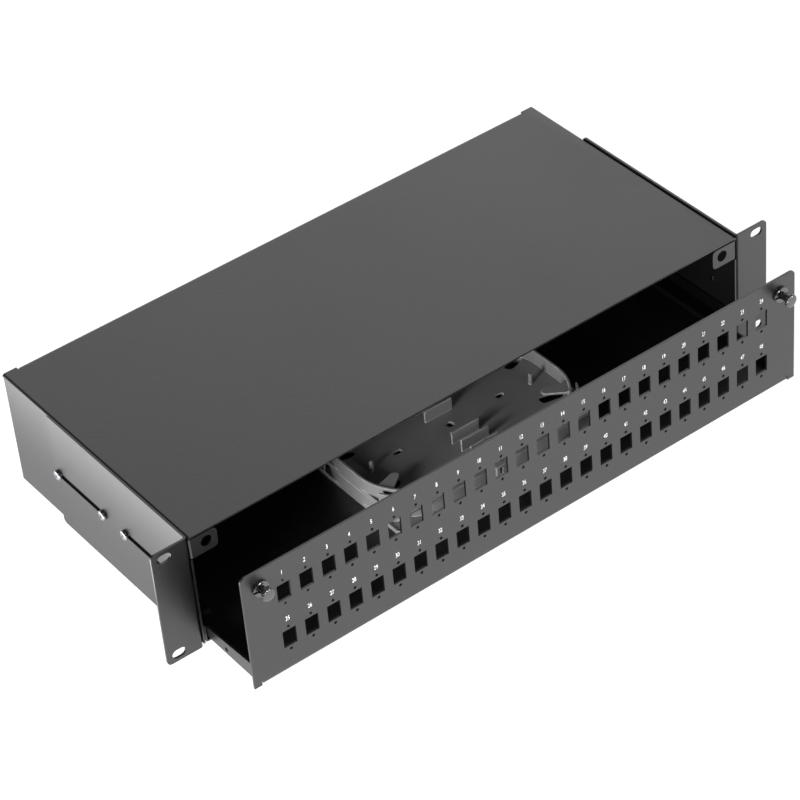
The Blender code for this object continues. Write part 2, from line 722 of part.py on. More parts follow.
def drawer(slide):
    """Front panel, floor, side flanges and rear stop ears, modelled from the panel's front face."""
    half = DRAWER_FLANGE_X
    length = DRAWER_LENGTH
    bm = bmesh.new()
    matrix = Matrix.Translation((0, length / 2, DRAWER_LOW)) @ Matrix.Diagonal((half, length / 2, 1, 1))
    bmesh.ops.create_grid(bm, x_segments=1, y_segments=1, size=1.0, matrix=matrix)
    panel_half = PANEL_WIDTH / 2
    foot_x = panel_half - PANEL_FOOT
    notch_y = DRAWER_BEND + RELIEF
    # Cut back the floor's front corners so that the panel's feet stay flat
    split(bm, (0, notch_y, 0), (0, 1, 0))
    for side in (-1, 1):
        split(bm, (side * (foot_x - RELIEF), 0, 0), (1, 0, 0))
        near, far = sorted((side * (foot_x - RELIEF), side * half))
        remove_cells(bm, (near, 0, DRAWER_LOW), (far, notch_y, DRAWER_LOW))
    split(bm, (0, FLANGE_NOTCH, 0), (0, 1, 0))
    split(bm, (0, FLANGE_TAPER_END, 0), (0, 1, 0))
    # Panel upright from the floor's front edge, then its full width to each side
    panel_height = PANEL_TOP - DRAWER_LOW
    fold = foot_x - RELIEF
    flap(bm, (-fold, 0, DRAWER_LOW), (fold, 0, DRAWER_LOW), (0, 0, DRAWER_BEND + RELIEF))
    rise = DRAWER_LOW + DRAWER_BEND + RELIEF
    flap(bm, (-fold, 0, rise), (fold, 0, rise), (0, 0, panel_height - DRAWER_BEND - RELIEF))
    for side in (-1, 1):
        flap(bm, (side * fold, 0, rise), (side * fold, 0, PANEL_TOP), (side * RELIEF, 0, 0))
        flap(bm, (side * foot_x, 0, rise), (side * foot_x, 0, PANEL_TOP),
             (side * (panel_half - foot_x), 0, 0))
        near, far = sorted((side * foot_x, side * panel_half))
        flap(bm, (near, 0, rise), (far, 0, rise), (0, 0, DRAWER_LOW - rise))
    corners = [(side * panel_half, 0, PANEL_TOP) for side in (-1, 1)]
    round_corners(bm, verts_at(bm, corners), PANEL_ROUND)
    # Side flanges, higher toward the front
    for side in (-1, 1):
        verts = flap(bm, (side * half, FLANGE_NOTCH, DRAWER_LOW), (side * half, length, DRAWER_LOW),
                     (0, 0, FLANGE_REAR - DRAWER_LOW))
        for vert in verts:
            if vert.co.y < FLANGE_NOTCH + 0.0001:
                vert.co.z = FLANGE_FRONT
    # Stop ears turned in at the rear end of each flange
    ear_low = DRAWER_LOW + DRAWER_BEND + RELIEF
    split(bm, (0, 0, ear_low), (0, 0, 1))
    split(bm, (0, length - DRAWER_BEND - RELIEF, 0), (0, 1, 0))
    for side in (-1, 1):
        wall = side * half
        remove_cells(bm, (wall, length - DRAWER_BEND - RELIEF, DRAWER_LOW), (wall, length, ear_low))
        flap(bm, (wall, length, ear_low), (wall, length, FLANGE_REAR), (-side * EAR_STOP_WIDTH, 0, 0))
    bends = edges_within(bm, (-fold, 0, DRAWER_LOW), (fold, 0, DRAWER_LOW), boundary=False)
    for side in (-1, 1):
        wall = side * half
        bends += edges_within(bm, (wall, FLANGE_NOTCH, DRAWER_LOW), (wall, length, DRAWER_LOW),
                              boundary=False)
        bends += edges_within(bm, (wall, length, ear_low), (wall, length, FLANGE_REAR),
                              boundary=False)
    bend(bm, bends, DRAWER_BEND)
    face_outward(bm, (0, 0, PANEL_TOP / 2), (0, -1, 0))
    tray = sheet_object("drawer_tray", bm, DRAWER_SHEET, -1.0)
    # Adapter openings with their screw holes, as one pattern
    first = -(PORTS - 1) / 2 * PORT_PITCH
    port = box("port", (first - PORT_WIDTH / 2, -0.004, ROW_LOW - PORT_HEIGHT / 2),
               (first + PORT_WIDTH / 2, 0.006, ROW_LOW + PORT_HEIGHT / 2))
    holes = rod("port_screw", (first, -0.004, ROW_LOW - PORT_SCREW_OFFSET), 'Y',
                PORT_SCREW_RADIUS, 0.010, 8)
    for tool, rows in ((port, ((2, (0, 0, ROW_STEP)),)),
                       (holes, ((2, (0, 0, 2 * PORT_SCREW_OFFSET)), (2, (0, 0, ROW_STEP))))):
        repeat(tool, PORTS, (PORT_PITCH, 0, 0))
        for count, offset in rows:
            repeat(tool, count, offset)
        boolean(tray, as_tool(tool, slide))
    for side in (-1, 1):
        hole = rod("latch_hole", (side * LATCH_X, -0.004, LATCH_Z), 'Y', PANEL_LATCH_HOLE, 0.010, 20)
        boolean(tray, as_tool(hole, slide))
    flange_hole = rod("flange_hole", (-half - 0.003, FLANGE_HOLE_Y, FLANGE_HOLE_Z), 'X',
                      FLANGE_HOLE_RADIUS, 2 * half + 0.006, 12)
    boolean(tray, as_tool(flange_hole, slide))
    thread = rod("tray_thread", (TRAY_X, TRAY_Y + CENTRE_HOLE_Y, DRAWER_LOW - 0.002), 'Z',
                 TRAY_SCREW_RADIUS + FIT, 0.008, 12)
    boolean(tray, as_tool(thread, slide))
    return place(tray, BLACK_STEEL, slide)


def latch_grommet(side, slide):
    """Collar on the panel face with a split barrel that snaps through the housing's tab."""
    name = "latch_grommet_left" if side < 0 else "latch_grommet_right"
    back = DRAWER_SHEET + BARREL_LENGTH
    profile = [(BARREL_BORE, COLLAR_HEIGHT + TOUCH), (COLLAR_RADIUS - 0.0008, COLLAR_HEIGHT + TOUCH),
               (COLLAR_RADIUS, COLLAR_HEIGHT + TOUCH - 0.0008), (COLLAR_RADIUS, TOUCH),
               (BARREL_RADIUS, TOUCH), (BARREL_RADIUS, -back + 0.0008),
               (BARREL_RADIUS - 0.0004, -back), (BARREL_BORE, -back)]
    ring = turned(name, profile, 20, closed=True)
    bake(ring)
    reach = COLLAR_RADIUS + 0.001
    for low, high in (((-reach, -BARREL_SLIT / 2), (reach, BARREL_SLIT / 2)),
                      ((-BARREL_SLIT / 2, -reach), (BARREL_SLIT / 2, reach))):
        tool = box("barrel_slit", (*low, -back - 0.001), (*high, -DRAWER_SHEET - 0.0012))
        boolean(ring, as_tool(tool))
        bake(ring)
        bpy.data.objects.remove(tool, do_unlink=True)
    # Two finger slots across the collar's face
    tool = box("collar_slot", (-reach, -BARREL_SLIT, COLLAR_HEIGHT + TOUCH - 0.0008),
               (reach, BARREL_SLIT, COLLAR_HEIGHT + 0.002))
    boolean(ring, as_tool(tool))
    bake(ring)
    bpy.data.objects.remove(tool, do_unlink=True)
    smooth_round(ring)
    place(ring, BLACK_PLASTIC, slide, (side * LATCH_X, 0, LATCH_Z))
    ring.rotation_euler = (math.pi / 2, 0, 0)
    return ring


def latch_plunger(side, slide):
    """Forked plunger with a fluted mushroom head, its origin on the latch axis at the panel."""
    name = "latch_plunger_left" if side < 0 else "latch_plunger_right"
    stand = HEAD_LEFT if side < 0 else HEAD_RIGHT
    top = HEAD_THICK / 2
    # The flare stops behind the barrel when the plunger is pulled to its limit
    tip = -(DRAWER_SHEET + BARREL_LENGTH) - HEAD_PULLED - FIT
    profile = [(0, top), (HEAD_RADIUS * 0.72, top - 0.0002), (HEAD_RADIUS * 0.95, top - 0.0009),
               (HEAD_RADIUS, 0), (HEAD_RADIUS * 0.88, -top * 0.72), (HEAD_RADIUS * 0.60, -top),
               (PLUNGER_RADIUS, -top), (PLUNGER_RADIUS, tip), (PLUNGER_FLARE, tip - 0.0004),
               (PLUNGER_FLARE, tip - 0.0010), (PLUNGER_RADIUS - 0.0006, tip - 0.0024),
               (0, tip - 0.0024)]
    body = turned(name, profile, 20)
    bake(body)
    tools = []
    for step in range(HEAD_FLUTES):
        angle = 2 * math.pi * (step + 0.5) / HEAD_FLUTES
        reach = HEAD_RADIUS + FLUTE_OUT
        start = (reach * math.cos(angle), reach * math.sin(angle), -top - 0.001)
        tools.append(rod("flute", start, 'Z', FLUTE_RADIUS, HEAD_THICK + 0.002, 7))
    fork = box("fork", (-HEAD_RADIUS, -PLUNGER_SLIT / 2, tip - 0.004),
               (HEAD_RADIUS, PLUNGER_SLIT / 2, -top - 0.0012))
    for tool in tools + [fork]:
        boolean(body, as_tool(tool))
    bake(body)
    for tool in tools + [fork]:
        bpy.data.objects.remove(tool, do_unlink=True)
    smooth_round(body)
    place(body, BLACK_PLASTIC, slide, (side * LATCH_X, -stand, LATCH_Z))
    body.rotation_euler = (math.pi / 2, 0, 0)
    return body


def horn_outline(sx, sy, outer_x, outer_y):
    """Entry guide outside one corner of the tray wall: it leaves the wall and ends open."""
    steps = 6
    centre = (sx * outer_x, sy * outer_y)
    far, near = [], []
    for step in range(steps + 1):
        share = step / steps
        angle = math.radians(HORN_OPEN + (HORN_CLOSED - HORN_OPEN) * share)
        gap = HORN_GAP * min(1.0, 2.2 * (1 - share))
        outer = TRAY_CORNER + gap + HORN_WALL * (1.0 if share < 0.999 else 0.2)
        inner = TRAY_CORNER + gap if share < 0.5 else TRAY_CORNER + gap * 0.9 - 0.0004
        far.append((centre[0] + sx * outer * math.cos(angle), centre[1] + sy * outer * math.sin(angle)))
        near.append((centre[0] + sx * inner * math.cos(angle), centre[1] + sy * inner * math.sin(angle)))
    points = far + near[::-1]
    return points if sx * sy > 0 else points[::-1]


def entry_outline(sx, sy, outer_x, outer_y):
    """Outline of the fibre window through the wall behind a horn."""
    points = []
    for radius, angle in ((TRAY_CORNER - 2 * TRAY_WALL, ENTRY_FROM), (TRAY_CORNER + HORN_GAP / 2, ENTRY_FROM),
                          (TRAY_CORNER + HORN_GAP / 2, ENTRY_TO), (TRAY_CORNER - 2 * TRAY_WALL, ENTRY_TO)):
        turn = math.radians(angle)
        points.append((sx * (outer_x + radius * math.cos(turn)), sy * (outer_y + radius * math.sin(turn))))
    return points if sx * sy > 0 else points[::-1]


def finger_outline(sx, sy, margin=0.0, back=0.0):
    """Fibre hold-down finger, wide at the wall and round at its tip."""
    turn = math.radians(FINGER_ANGLE)
    ahead = Vector((-math.cos(turn), math.sin(turn)))
    across = Vector((math.sin(turn), math.cos(turn)))
    root = Vector((FINGER_BASE_X, -FINGER_BASE_Y)) - ahead * back
    tip = Vector((FINGER_BASE_X, -FINGER_BASE_Y)) + ahead * (FINGER_LENGTH - FINGER_TIP_HALF)
    base = FINGER_BASE_HALF + margin
    end = FINGER_TIP_HALF + margin
    points = [root - across * base]
    for step in range(7):
        angle = math.radians(-80 + 160 * step / 6)
        points.append(tip + ahead * end * math.cos(angle) + across * end * math.sin(angle))
    points.append(root + across * base)
    # The corner drawn above is the right front one
    return [(sx * point.x, -sy * point.y) for point in points]


def splice_tray_mesh():
    """One tray: square-cornered floor, round-cornered wall, horns, fingers, pins and holders."""
    corner_x = TRAY_LENGTH / 2 - TRAY_CORNER
    corner_y = TRAY_DEPTH / 2 - TRAY_CORNER
    corners = [(sx, sy) for sx in (-1, 1) for sy in (-1, 1)]
    plate = flat("tray", [rounded_rectangle(TRAY_LENGTH, TRAY_DEPTH, TRAY_PLATE_CORNER, 3)],
                 0, TRAY_FLOOR + TRAY_LIP_HEIGHT)
    pocket = rounded_rectangle(TRAY_LENGTH - 2 * TRAY_LIP, TRAY_DEPTH - 2 * TRAY_LIP,
                               TRAY_PLATE_CORNER - TRAY_LIP, 3)
    steps = [(flat("pocket", [pocket], TRAY_FLOOR, TRAY_HEIGHT), 'DIFFERENCE')]
    ring = [rounded_rectangle(TRAY_LENGTH, TRAY_DEPTH, TRAY_CORNER, 8),
            rounded_rectangle(TRAY_LENGTH - 2 * TRAY_WALL, TRAY_DEPTH - 2 * TRAY_WALL,
                              TRAY_CORNER - TRAY_WALL, 8)]
    steps.append((flat("wall", ring, TRAY_FLOOR / 2, TRAY_HEIGHT), 'UNION'))
    for sx, sy in corners:
        horn = horn_outline(sx, sy, corner_x, corner_y)
        steps.append((flat("horn", [horn], TRAY_FLOOR / 2, TRAY_HEIGHT - FINGER_DROP), 'UNION'))
        # Fibres pass from the horn's pocket through a window under the rim
        window = entry_outline(sx, sy, corner_x, corner_y)
        steps.append((flat("entry", [window], TRAY_FLOOR, TRAY_HEIGHT - ENTRY_RIM), 'DIFFERENCE'))
        # The floor is open under each finger
        hole = finger_outline(sx, sy, FINGER_HOLE_MARGIN, -0.0020)
        steps.append((flat("finger_hole", [hole], -0.001, TRAY_FLOOR + 0.001), 'DIFFERENCE'))
    for sx, sy in corners:
        finger = finger_outline(sx, sy, 0.0, 0.0030)
        high = TRAY_HEIGHT - FINGER_DROP
        steps.append((flat("finger", [finger], high - FINGER_THICK, high), 'UNION'))
    for sign in (-1, 1):
        pin = rod("pin", (sign * PIN_X, PIN_Y, TRAY_FLOOR / 2), 'Z', PIN_RADIUS,
                  PIN_HEIGHT + TRAY_FLOOR / 2, 10)
        steps.append((pin, 'UNION'))
        oval = obround(OVAL_LENGTH, OVAL_WIDTH, (sign * OVAL_X, OVAL_Y), 5)
        steps.append((flat("oval", [oval], -0.001, TRAY_FLOOR + 0.001), 'DIFFERENCE'))
        for number in range(HOLDERS_PER_SIDE):
            y = HOLDER_MIDDLE + sign * (HOLDER_FIRST + HOLDER_STEP * number)
            holder = box("holder", (-HOLDER_WIDTH / 2, y - HOLDER_THICK / 2, TRAY_FLOOR / 2),
                         (HOLDER_WIDTH / 2, y + HOLDER_THICK / 2, TRAY_FLOOR + HOLDER_HEIGHT))
            steps.append((holder, 'UNION'))
        face = sign * TRAY_DEPTH / 2
        near, far = sorted((face - sign * TRAY_WALL / 2, face + sign * CLIP_PROUD))
        clip = box("clip", (-CLIP_WIDTH / 2, near, CLIP_LOW), (CLIP_WIDTH / 2, far, TRAY_HEIGHT))
        steps.append((clip, 'UNION'))
        near, far = sorted((face - sign * TRAY_WALL * 2, face + sign * CLIP_PROUD * 2))
        low = CLIP_LOW + 0.0008
        window = box("window", (-CLIP_WINDOW_WIDTH / 2, near, low),
                     (CLIP_WINDOW_WIDTH / 2, far, low + CLIP_WINDOW_HEIGHT))
        steps.append((window, 'DIFFERENCE'))
    centre = rod("centre", (0, CENTRE_HOLE_Y, -0.001), 'Z', CENTRE_HOLE_RADIUS,
                 TRAY_FLOOR + 0.002, 12)
    steps.append((centre, 'DIFFERENCE'))
    for tool, operation in steps:
        boolean(plate, as_tool(tool), operation)
        bake(plate)
        bpy.data.objects.remove(tool, do_unlink=True)
    mesh = plate.data
    bpy.data.objects.remove(plate, do_unlink=True)
    mesh.name = "splice_tray"
    mesh.shade_smooth()
    mesh.set_sharp_from_angle(angle=math.radians(30))
    mesh.materials.clear()
    mesh.materials.append(GREY_PLASTIC)
    return mesh


def splice_trays(slide):
    mesh = splice_tray_mesh()
    low = DRAWER_FLOOR_TOP + TOUCH
    for name, z in (("splice_tray_lower", low), ("splice_tray_upper", low + TRAY_HEIGHT + TOUCH)):
        tray = bpy.data.objects.new(name, mesh)
        place(tray, None, slide, (TRAY_X, TRAY_Y, z))
    seat = low + TRAY_FLOOR + TOUCH
    length = seat - DRAWER_LOW - 0.0002
    screw("tray_screw", TRAY_SCREW_HEAD, TRAY_SCREW_HEAD_HEIGHT, TRAY_SCREW_RADIUS, length,
          (0, 0, 0), (TRAY_X, TRAY_Y + CENTRE_HOLE_Y, seat), ZINC, slide)


def cable_entries():
    """Rubber grommets in the outer rear entries and blanking plugs in the inner ones."""
    wall_out = REAR - REAR_INSET
    neck = ENTRY_RADIUS - FIT
    for side, word in ((-1, "left"), (1, "right")):
        high, low = TOUCH + GROMMET_SIDE, -SHEET - TOUCH - GROMMET_SIDE
        profile = [(GROMMET_BORE, high), (GROMMET_FLANGE - 0.0012, high),
                   (GROMMET_FLANGE, high - 0.0012), (GROMMET_FLANGE, TOUCH), (neck, TOUCH),
                   (neck, -SHEET - TOUCH), (GROMMET_FLANGE, -SHEET - TOUCH),
                   (GROMMET_FLANGE, low + 0.0012), (GROMMET_FLANGE - 0.0012, low),
                   (GROMMET_BORE, low)]
        ring = bake(turned(f"cable_grommet_{word}", profile, 20, closed=True))
        smooth_round(ring)
        place(ring, RUBBER, None, (side * ENTRY_OUTER_X, wall_out, ENTRY_HEIGHT))
        ring.rotation_euler = (-math.pi / 2, 0, 0)
        high = TOUCH + PLUG_CAP
        profile = [(0, high), (PLUG_FLANGE - 0.0015, high), (PLUG_FLANGE, high - 0.0015),
                   (PLUG_FLANGE, TOUCH), (neck, TOUCH), (neck, -PLUG_SKIRT),
                   (neck - PLUG_WALL, -PLUG_SKIRT), (neck - PLUG_WALL, TOUCH), (0, TOUCH)]
        plug = bake(turned(f"blanking_plug_{word}", profile, 20))
        smooth_round(plug)
        place(plug, BLACK_PLASTIC, None, (side * ENTRY_INNER_X, wall_out, ENTRY_HEIGHT))
        plug.rotation_euler = (-math.pi / 2, 0, 0)


def tie_mounts():
    """Cable tie mounts on the base plate behind the closed drawer."""
    half = TIE_MOUNT_SIZE / 2
    y = REAR - SHEET - TIE_MOUNT_FROM_REAR
    for side, word in ((-1, "left"), (1, "right")):
        block = box(f"tie_mount_{word}", (-half, -half, 0), (half, half, TIE_MOUNT_HEIGHT))
        bevel = block.modifiers.new("edges", 'BEVEL')
        bevel.width = 0.0015
        bevel.segments = 2
        bevel.limit_method = 'ANGLE'
        low, high = TIE_SLOT_FLOOR, TIE_SLOT_FLOOR + TIE_SLOT_HEIGHT
        for size_x, size_y in ((half + 0.002, TIE_SLOT_WIDTH / 2), (TIE_SLOT_WIDTH / 2, half + 0.002)):
            slot = box("tie_slot", (-size_x, -size_y, low), (size_x, size_y, high))
            slot.location = (side * TIE_MOUNT_X, y, SHEET + TOUCH)
            boolean(block, as_tool(slot))
        place(block, BLACK_PLASTIC, None, (side * TIE_MOUNT_X, y, SHEET + TOUCH))


def make_drawer_slide():
    """Empty at the foot of the panel's front face; all that slides hangs on it."""
    slide = bpy.data.objects.new("drawer_slide", None)
    slide.empty_display_size = EMPTY_SIZE
    slide.location = (0, DRAWER_FRONT, 0)
    PARTS.objects.link(slide)
    return slide


housing_shell()
housing_base()
bracket_screws()
cable_entries()
tie_mounts()
SLIDE = make_drawer_slide()
drawer(SLIDE)
splice_trays(SLIDE)
for SIDE in (-1, 1):
    drawer_guide(SIDE)
    bracket(SIDE)
    latch_grommet(SIDE, SLIDE)
    latch_plunger(SIDE, SLIDE)
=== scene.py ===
import json
import math

import bmesh
import bpy
from mathutils import Matrix, Vector

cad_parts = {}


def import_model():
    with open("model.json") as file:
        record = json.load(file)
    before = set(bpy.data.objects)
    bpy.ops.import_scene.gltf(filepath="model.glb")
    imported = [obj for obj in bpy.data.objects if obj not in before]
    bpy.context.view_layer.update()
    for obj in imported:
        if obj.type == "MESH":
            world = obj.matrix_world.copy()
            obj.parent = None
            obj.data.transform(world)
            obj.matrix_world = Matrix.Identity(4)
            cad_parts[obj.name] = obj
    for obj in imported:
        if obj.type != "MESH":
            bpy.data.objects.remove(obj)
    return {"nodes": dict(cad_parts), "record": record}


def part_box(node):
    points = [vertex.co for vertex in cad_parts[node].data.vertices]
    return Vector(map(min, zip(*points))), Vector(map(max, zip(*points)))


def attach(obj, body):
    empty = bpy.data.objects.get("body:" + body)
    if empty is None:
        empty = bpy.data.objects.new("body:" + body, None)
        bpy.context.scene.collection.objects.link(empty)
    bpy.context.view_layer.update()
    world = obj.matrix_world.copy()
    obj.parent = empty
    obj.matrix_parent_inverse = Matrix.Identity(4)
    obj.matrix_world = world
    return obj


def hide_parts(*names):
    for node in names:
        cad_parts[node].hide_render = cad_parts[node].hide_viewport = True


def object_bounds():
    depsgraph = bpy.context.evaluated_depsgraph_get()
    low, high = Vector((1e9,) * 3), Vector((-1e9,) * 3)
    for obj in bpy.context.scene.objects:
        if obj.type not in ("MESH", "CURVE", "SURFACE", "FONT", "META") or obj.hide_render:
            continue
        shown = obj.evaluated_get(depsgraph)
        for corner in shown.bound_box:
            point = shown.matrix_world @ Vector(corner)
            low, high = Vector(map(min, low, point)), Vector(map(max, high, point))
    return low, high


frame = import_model()
cad_low, cad_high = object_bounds()

# Camera, found by fitting the box's edges in the photograph; metres and degrees.
CAMERA_PLACE = Vector((-0.86634, -1.30095, 1.28725))
CAMERA_HEADING = 34.0745
CAMERA_PITCH = -39.3589
CAMERA_ROLL = -5.4175
CAMERA_LENS = 139.694
CAMERA_SHIFT = (-0.00112, -0.0002)
SENSOR_WIDTH = 36.0

# Printed port numbers.
PORT_COLUMNS = 24
PORT_PITCH = 0.01627
NUMBER_HEIGHT = 0.0033
NUMBER_PAIR_WIDTH = 0.0029
NUMBER_ROWS = (0.0786, 0.0421)
INK_STANDS_OUT = 0.00004
INK_THICKNESS = 0.00003

# Latches; lengths in metres.
ROUND_STEPS = 64
CUT_PAST = 0.001
COLLAR_RADIUS = 0.0055
COLLAR_FACE = 0.0023
COLLAR_SEAT = 0.0003
COLLAR_FILLET = 0.0008
COLLAR_GROOVE = 0.0009
BARREL_RADIUS = 0.00345
BARREL_BORE = 0.00255
BARREL_BACK = 0.0060
BARREL_SLIT_START = 0.0027
BARREL_ROUND = 0.0005
BORE_ROUND = 0.0004
SLOT_WIDTH = 0.0011
HEAD_RADIUS = 0.0047
HEAD_HALF = 0.00155
HEAD_ROUND = 0.0013
HEAD_FLUTES = 12
FLUTE_DEPTH = 0.00042
SHANK_RADIUS = 0.00225
FLARE_RADIUS = 0.0031

# Screws: radius and height of the head, radius of the shank; the thread in shares of the shank's radius.
BRACKET_SCREW = (0.0035, 0.0024, 0.0018)
TRAY_SCREW = (0.0036, 0.0018, 0.0013)
THREAD_PITCH = 0.40
THREAD_DEPTH = 0.13

# Rear entries: grommets and plugs.
ENTRY_NECK = 0.0097
SHEET = 0.0012
SHEET_GAP = 0.0003
GROMMET_BORE = 0.0065
GROMMET_LIP = 0.0012
PLUG_CAP = 0.0025
PLUG_RIM = 0.0012
PLUG_DISH = 0.0008
PLUG_WALL = 0.0015
PLUG_SLIT = 0.0010

# Splice trays; lengths in metres from the tray's middle and underside, angles in degrees.
TRAY_SIZE = (0.161, 0.099)
TRAY_TALL = 0.01155
TRAY_FLOOR = 0.0015
TRAY_WALL = 0.0015
TRAY_CORNER = 0.0400
TRAY_FOOT_CORNER = 0.0040
TRAY_LIP = 0.0010
HORN_GAP = 0.0033
HORN_WALL = 0.0014
HORN_ARC = (27.0, 52.0)
HORN_DROP = 0.0012
ENTRY_ARC = (29.0, 43.0)
ENTRY_RIM = 0.0022
FINGER_ANGLE = 26.0
FINGER_ROOT = (0.0087, 0.0209)
FINGER_LENGTH = 0.0148
FINGER_HALVES = (0.0054, 0.0029)
FINGER_THICK = 0.0014
FINGER_DROP = 0.0006
FINGER_BACK = (0.0026, 0.0015)
FINGER_ASIDE = -0.0017
FRONT_HOLE = ((0.0606, 0.0205), (0.0708, 0.0222), 0.0037)
REAR_HOLE = ((0.0653, 0.0213), (0.0726, 0.0228), 0.0034)
PIN_PLACE = (0.0645, -0.0013)
PIN_TALL = 0.0095
OVAL_PLACE = (0.0415, 0.0022)
OVAL_SIZE = (0.0062, 0.0036)
CENTRE_HOLE = (0.0009, 0.0025)
HOLDER_SIZE = (0.0216, 0.0012, 0.0105)
HOLDER_ROWS = (-0.0343, -0.0246, -0.0147, 0.0133, 0.0232, 0.0331)
HOLDER_FRONT_RISE = 0.0009
CLIP_SIZE = (0.0072, 0.0012, 0.0044)
CLIP_WINDOW = (0.0026, 0.0048)
CLIP_WINDOW_RISE = 0.0008

# Studio.
FLOOR_SIZE = 12.0
SKY_EDGE = (0.82, 0.96)
SKY_ABOVE = 0.15
SKY_SLOPE = (0.50, 0.80, 1.06, 0.44)
SKY_TURN = (0.30, 0.50, 0.77, 1.02)
SKY_AHEAD = (-0.65, 0.0, 0.35, 1.0)
SKY_LEFT = (-0.10, 0.25, 0.12, 1.0)
SKY_IN_GLOSS = 1.36
SKY_ON_MATT = 0.60
FLOOR_ON_MATT = 0.80
FLOOR_SHADOW = 0.30
FLOOR_GLOW = 0.90
CENTRE = Vector((0.0, -0.03, 0.045))

# Lamps: name, place, width and watts, and whether they show in reflections.
SOFTBOXES = (("left", (-2.0, -0.62, 0.50), 0.9, 110.0, False),
             ("front_low", (0.1, -2.2, 0.72), 0.6, 33.0, True),
             ("top_front", (-0.45, -1.00, 1.75), 0.6, 1.0, True))
LEFT_CARD_PLACE = (-0.370, 0.10)
LEFT_CARD_SIZE = (0.20, 0.30)
LEFT_CARD_WATTS = 0.60
LEFT_CARD_RISE = 0.002


# Node helpers

class Nodes:
    """A material's node tree with short calls to add and join nodes."""

    def __init__(self, tree):
        self.tree = tree
        tree.nodes.clear()

    def add(self, kind, **values):
        node = self.tree.nodes.new(kind)
        for name, value in values.items():
            setattr(node, name, value)
        return node

    def join(self, source, target):
        self.tree.links.new(source, target)

    def coordinates(self):
        return self.add("ShaderNodeTexCoord").outputs["Object"]

    def noise(self, scale, detail=2.0, roughness=0.5):
        node = self.add("ShaderNodeTexNoise")
        self.join(self.coordinates(), node.inputs["Vector"])
        node.inputs["Scale"].default_value = scale
        node.inputs["Detail"].default_value = detail
        node.inputs["Roughness"].default_value = roughness
        return node.outputs["Fac"]

    def spread(self, source, low, high, to_low, to_high):
        """Maps low..high of source to to_low..to_high, clamped."""
        node = self.add("ShaderNodeMapRange")
        self.join(source, node.inputs["Value"])
        for name, value in (("From Min", low), ("From Max", high), ("To Min", to_low), ("To Max", to_high)):
            node.inputs[name].default_value = value
        return node.outputs["Result"]

    def maths(self, operation, first, second):
        node = self.add("ShaderNodeMath", operation=operation)
        for socket, value in zip(node.inputs, (first, second)):
            if isinstance(value, (int, float)):
                socket.default_value = value
            else:
                self.join(value, socket)
        return node.outputs["Value"]

    def blend(self, factor, first, second):
        """A colour between first and second, each a colour or a socket."""
        node = self.add("ShaderNodeMix", data_type="RGBA")
        self.join(factor, node.inputs[0])
        for socket, value in ((node.inputs[6], first), (node.inputs[7], second)):
            if isinstance(value, tuple):
                socket.default_value = (*value, 1.0)
            else:
                self.join(value, socket)
        return node.outputs[2]

    def bump(self, height, strength, distance, normal=None):
        node = self.add("ShaderNodeBump")
        node.inputs["Strength"].default_value = strength
        node.inputs["Distance"].default_value = distance
        self.join(height, node.inputs["Height"])
        if normal is not None:
            self.join(normal, node.inputs["Normal"])
        return node.outputs["Normal"]

    def rounded(self, radius):
        """The normal as if every sharp edge had this radius."""
        node = self.add("ShaderNodeBevel", samples=6)
        node.inputs["Radius"].default_value = radius
        return node.outputs["Normal"]

    def edges(self, radius, low=0.004, high=0.16):
        """1 on sharp edges and 0 on flat walls."""
        geometry = self.add("ShaderNodeNewGeometry")
        turn = self.add("ShaderNodeVectorMath", operation="DOT_PRODUCT")
        self.join(self.rounded(radius), turn.inputs[0])
        self.join(geometry.outputs["Normal"], turn.inputs[1])
        away = self.maths("SUBTRACT", 1.0, turn.outputs["Value"])
        return self.spread(away, low, high, 0.0, 1.0)

    def surface(self, colour, roughness, normal=None, metallic=0.0, specular=0.5, coat=0.0, ior=1.5):
        shader = self.add("ShaderNodeBsdfPrincipled")
        shader.inputs["Metallic"].default_value = metallic
        shader.inputs["Specular IOR Level"].default_value = specular
        shader.inputs["Coat Weight"].default_value = coat
        shader.inputs["IOR"].default_value = ior
        for name, value in (("Base Color", colour), ("Roughness", roughness)):
            if isinstance(value, tuple):
                shader.inputs[name].default_value = (*value, 1.0)
            elif isinstance(value, (int, float)):
                shader.inputs[name].default_value = value
            else:
                self.join(value, shader.inputs[name])
        if normal is not None:
            self.join(normal, shader.inputs["Normal"])
        output = self.add("ShaderNodeOutputMaterial")
        self.join(shader.outputs["BSDF"], output.inputs["Surface"])


def new_material(name):
    material = bpy.data.materials.new(name)
    material.use_nodes = True
    return material, Nodes(material.node_tree)


# Materials

def powder_coat():
    """Satin black powder coat: fine orange peel, slow changes of gloss, and edges painted lighter in
    patches, partly wear and partly a painted highlight.
    """
    material, n = new_material("black_powder_coat")
    slow = n.noise(9.0, detail=4.0, roughness=0.6)
    grain = n.noise(1400.0, detail=3.0, roughness=0.65)
    peel = n.noise(420.0, detail=2.0)
    edge = n.edges(0.0003)
    # Edges painted lighter in patches: partly wear, partly a painted highlight along the sheet edges.
    wear_and_edge_highlight = n.maths("MULTIPLY", edge, n.spread(n.noise(160.0, detail=4.0), 0.50, 0.70, 0.0, 0.5))
    tone = n.blend(slow, (0.0035, 0.0035, 0.0036), (0.0055, 0.0055, 0.0057))
    speckled = n.blend(n.spread(grain, 0.35, 0.7, 0.0, 0.35), tone, (0.010, 0.010, 0.0103))
    colour = n.blend(wear_and_edge_highlight, speckled, (0.045, 0.045, 0.046))
    gloss = n.spread(slow, 0.25, 0.75, 0.30, 0.37)
    matter = n.maths("ADD", gloss, n.maths("MULTIPLY", edge, 0.30))
    roughness = n.maths("ADD", matter, n.spread(grain, 0.3, 0.7, -0.03, 0.05))
    rough_bump = n.bump(grain, 0.60, 0.00008, n.rounded(0.00015))
    normal = n.bump(peel, 0.40, 0.00012, rough_bump)
    n.surface(colour, roughness, normal, specular=0.97)
    return material


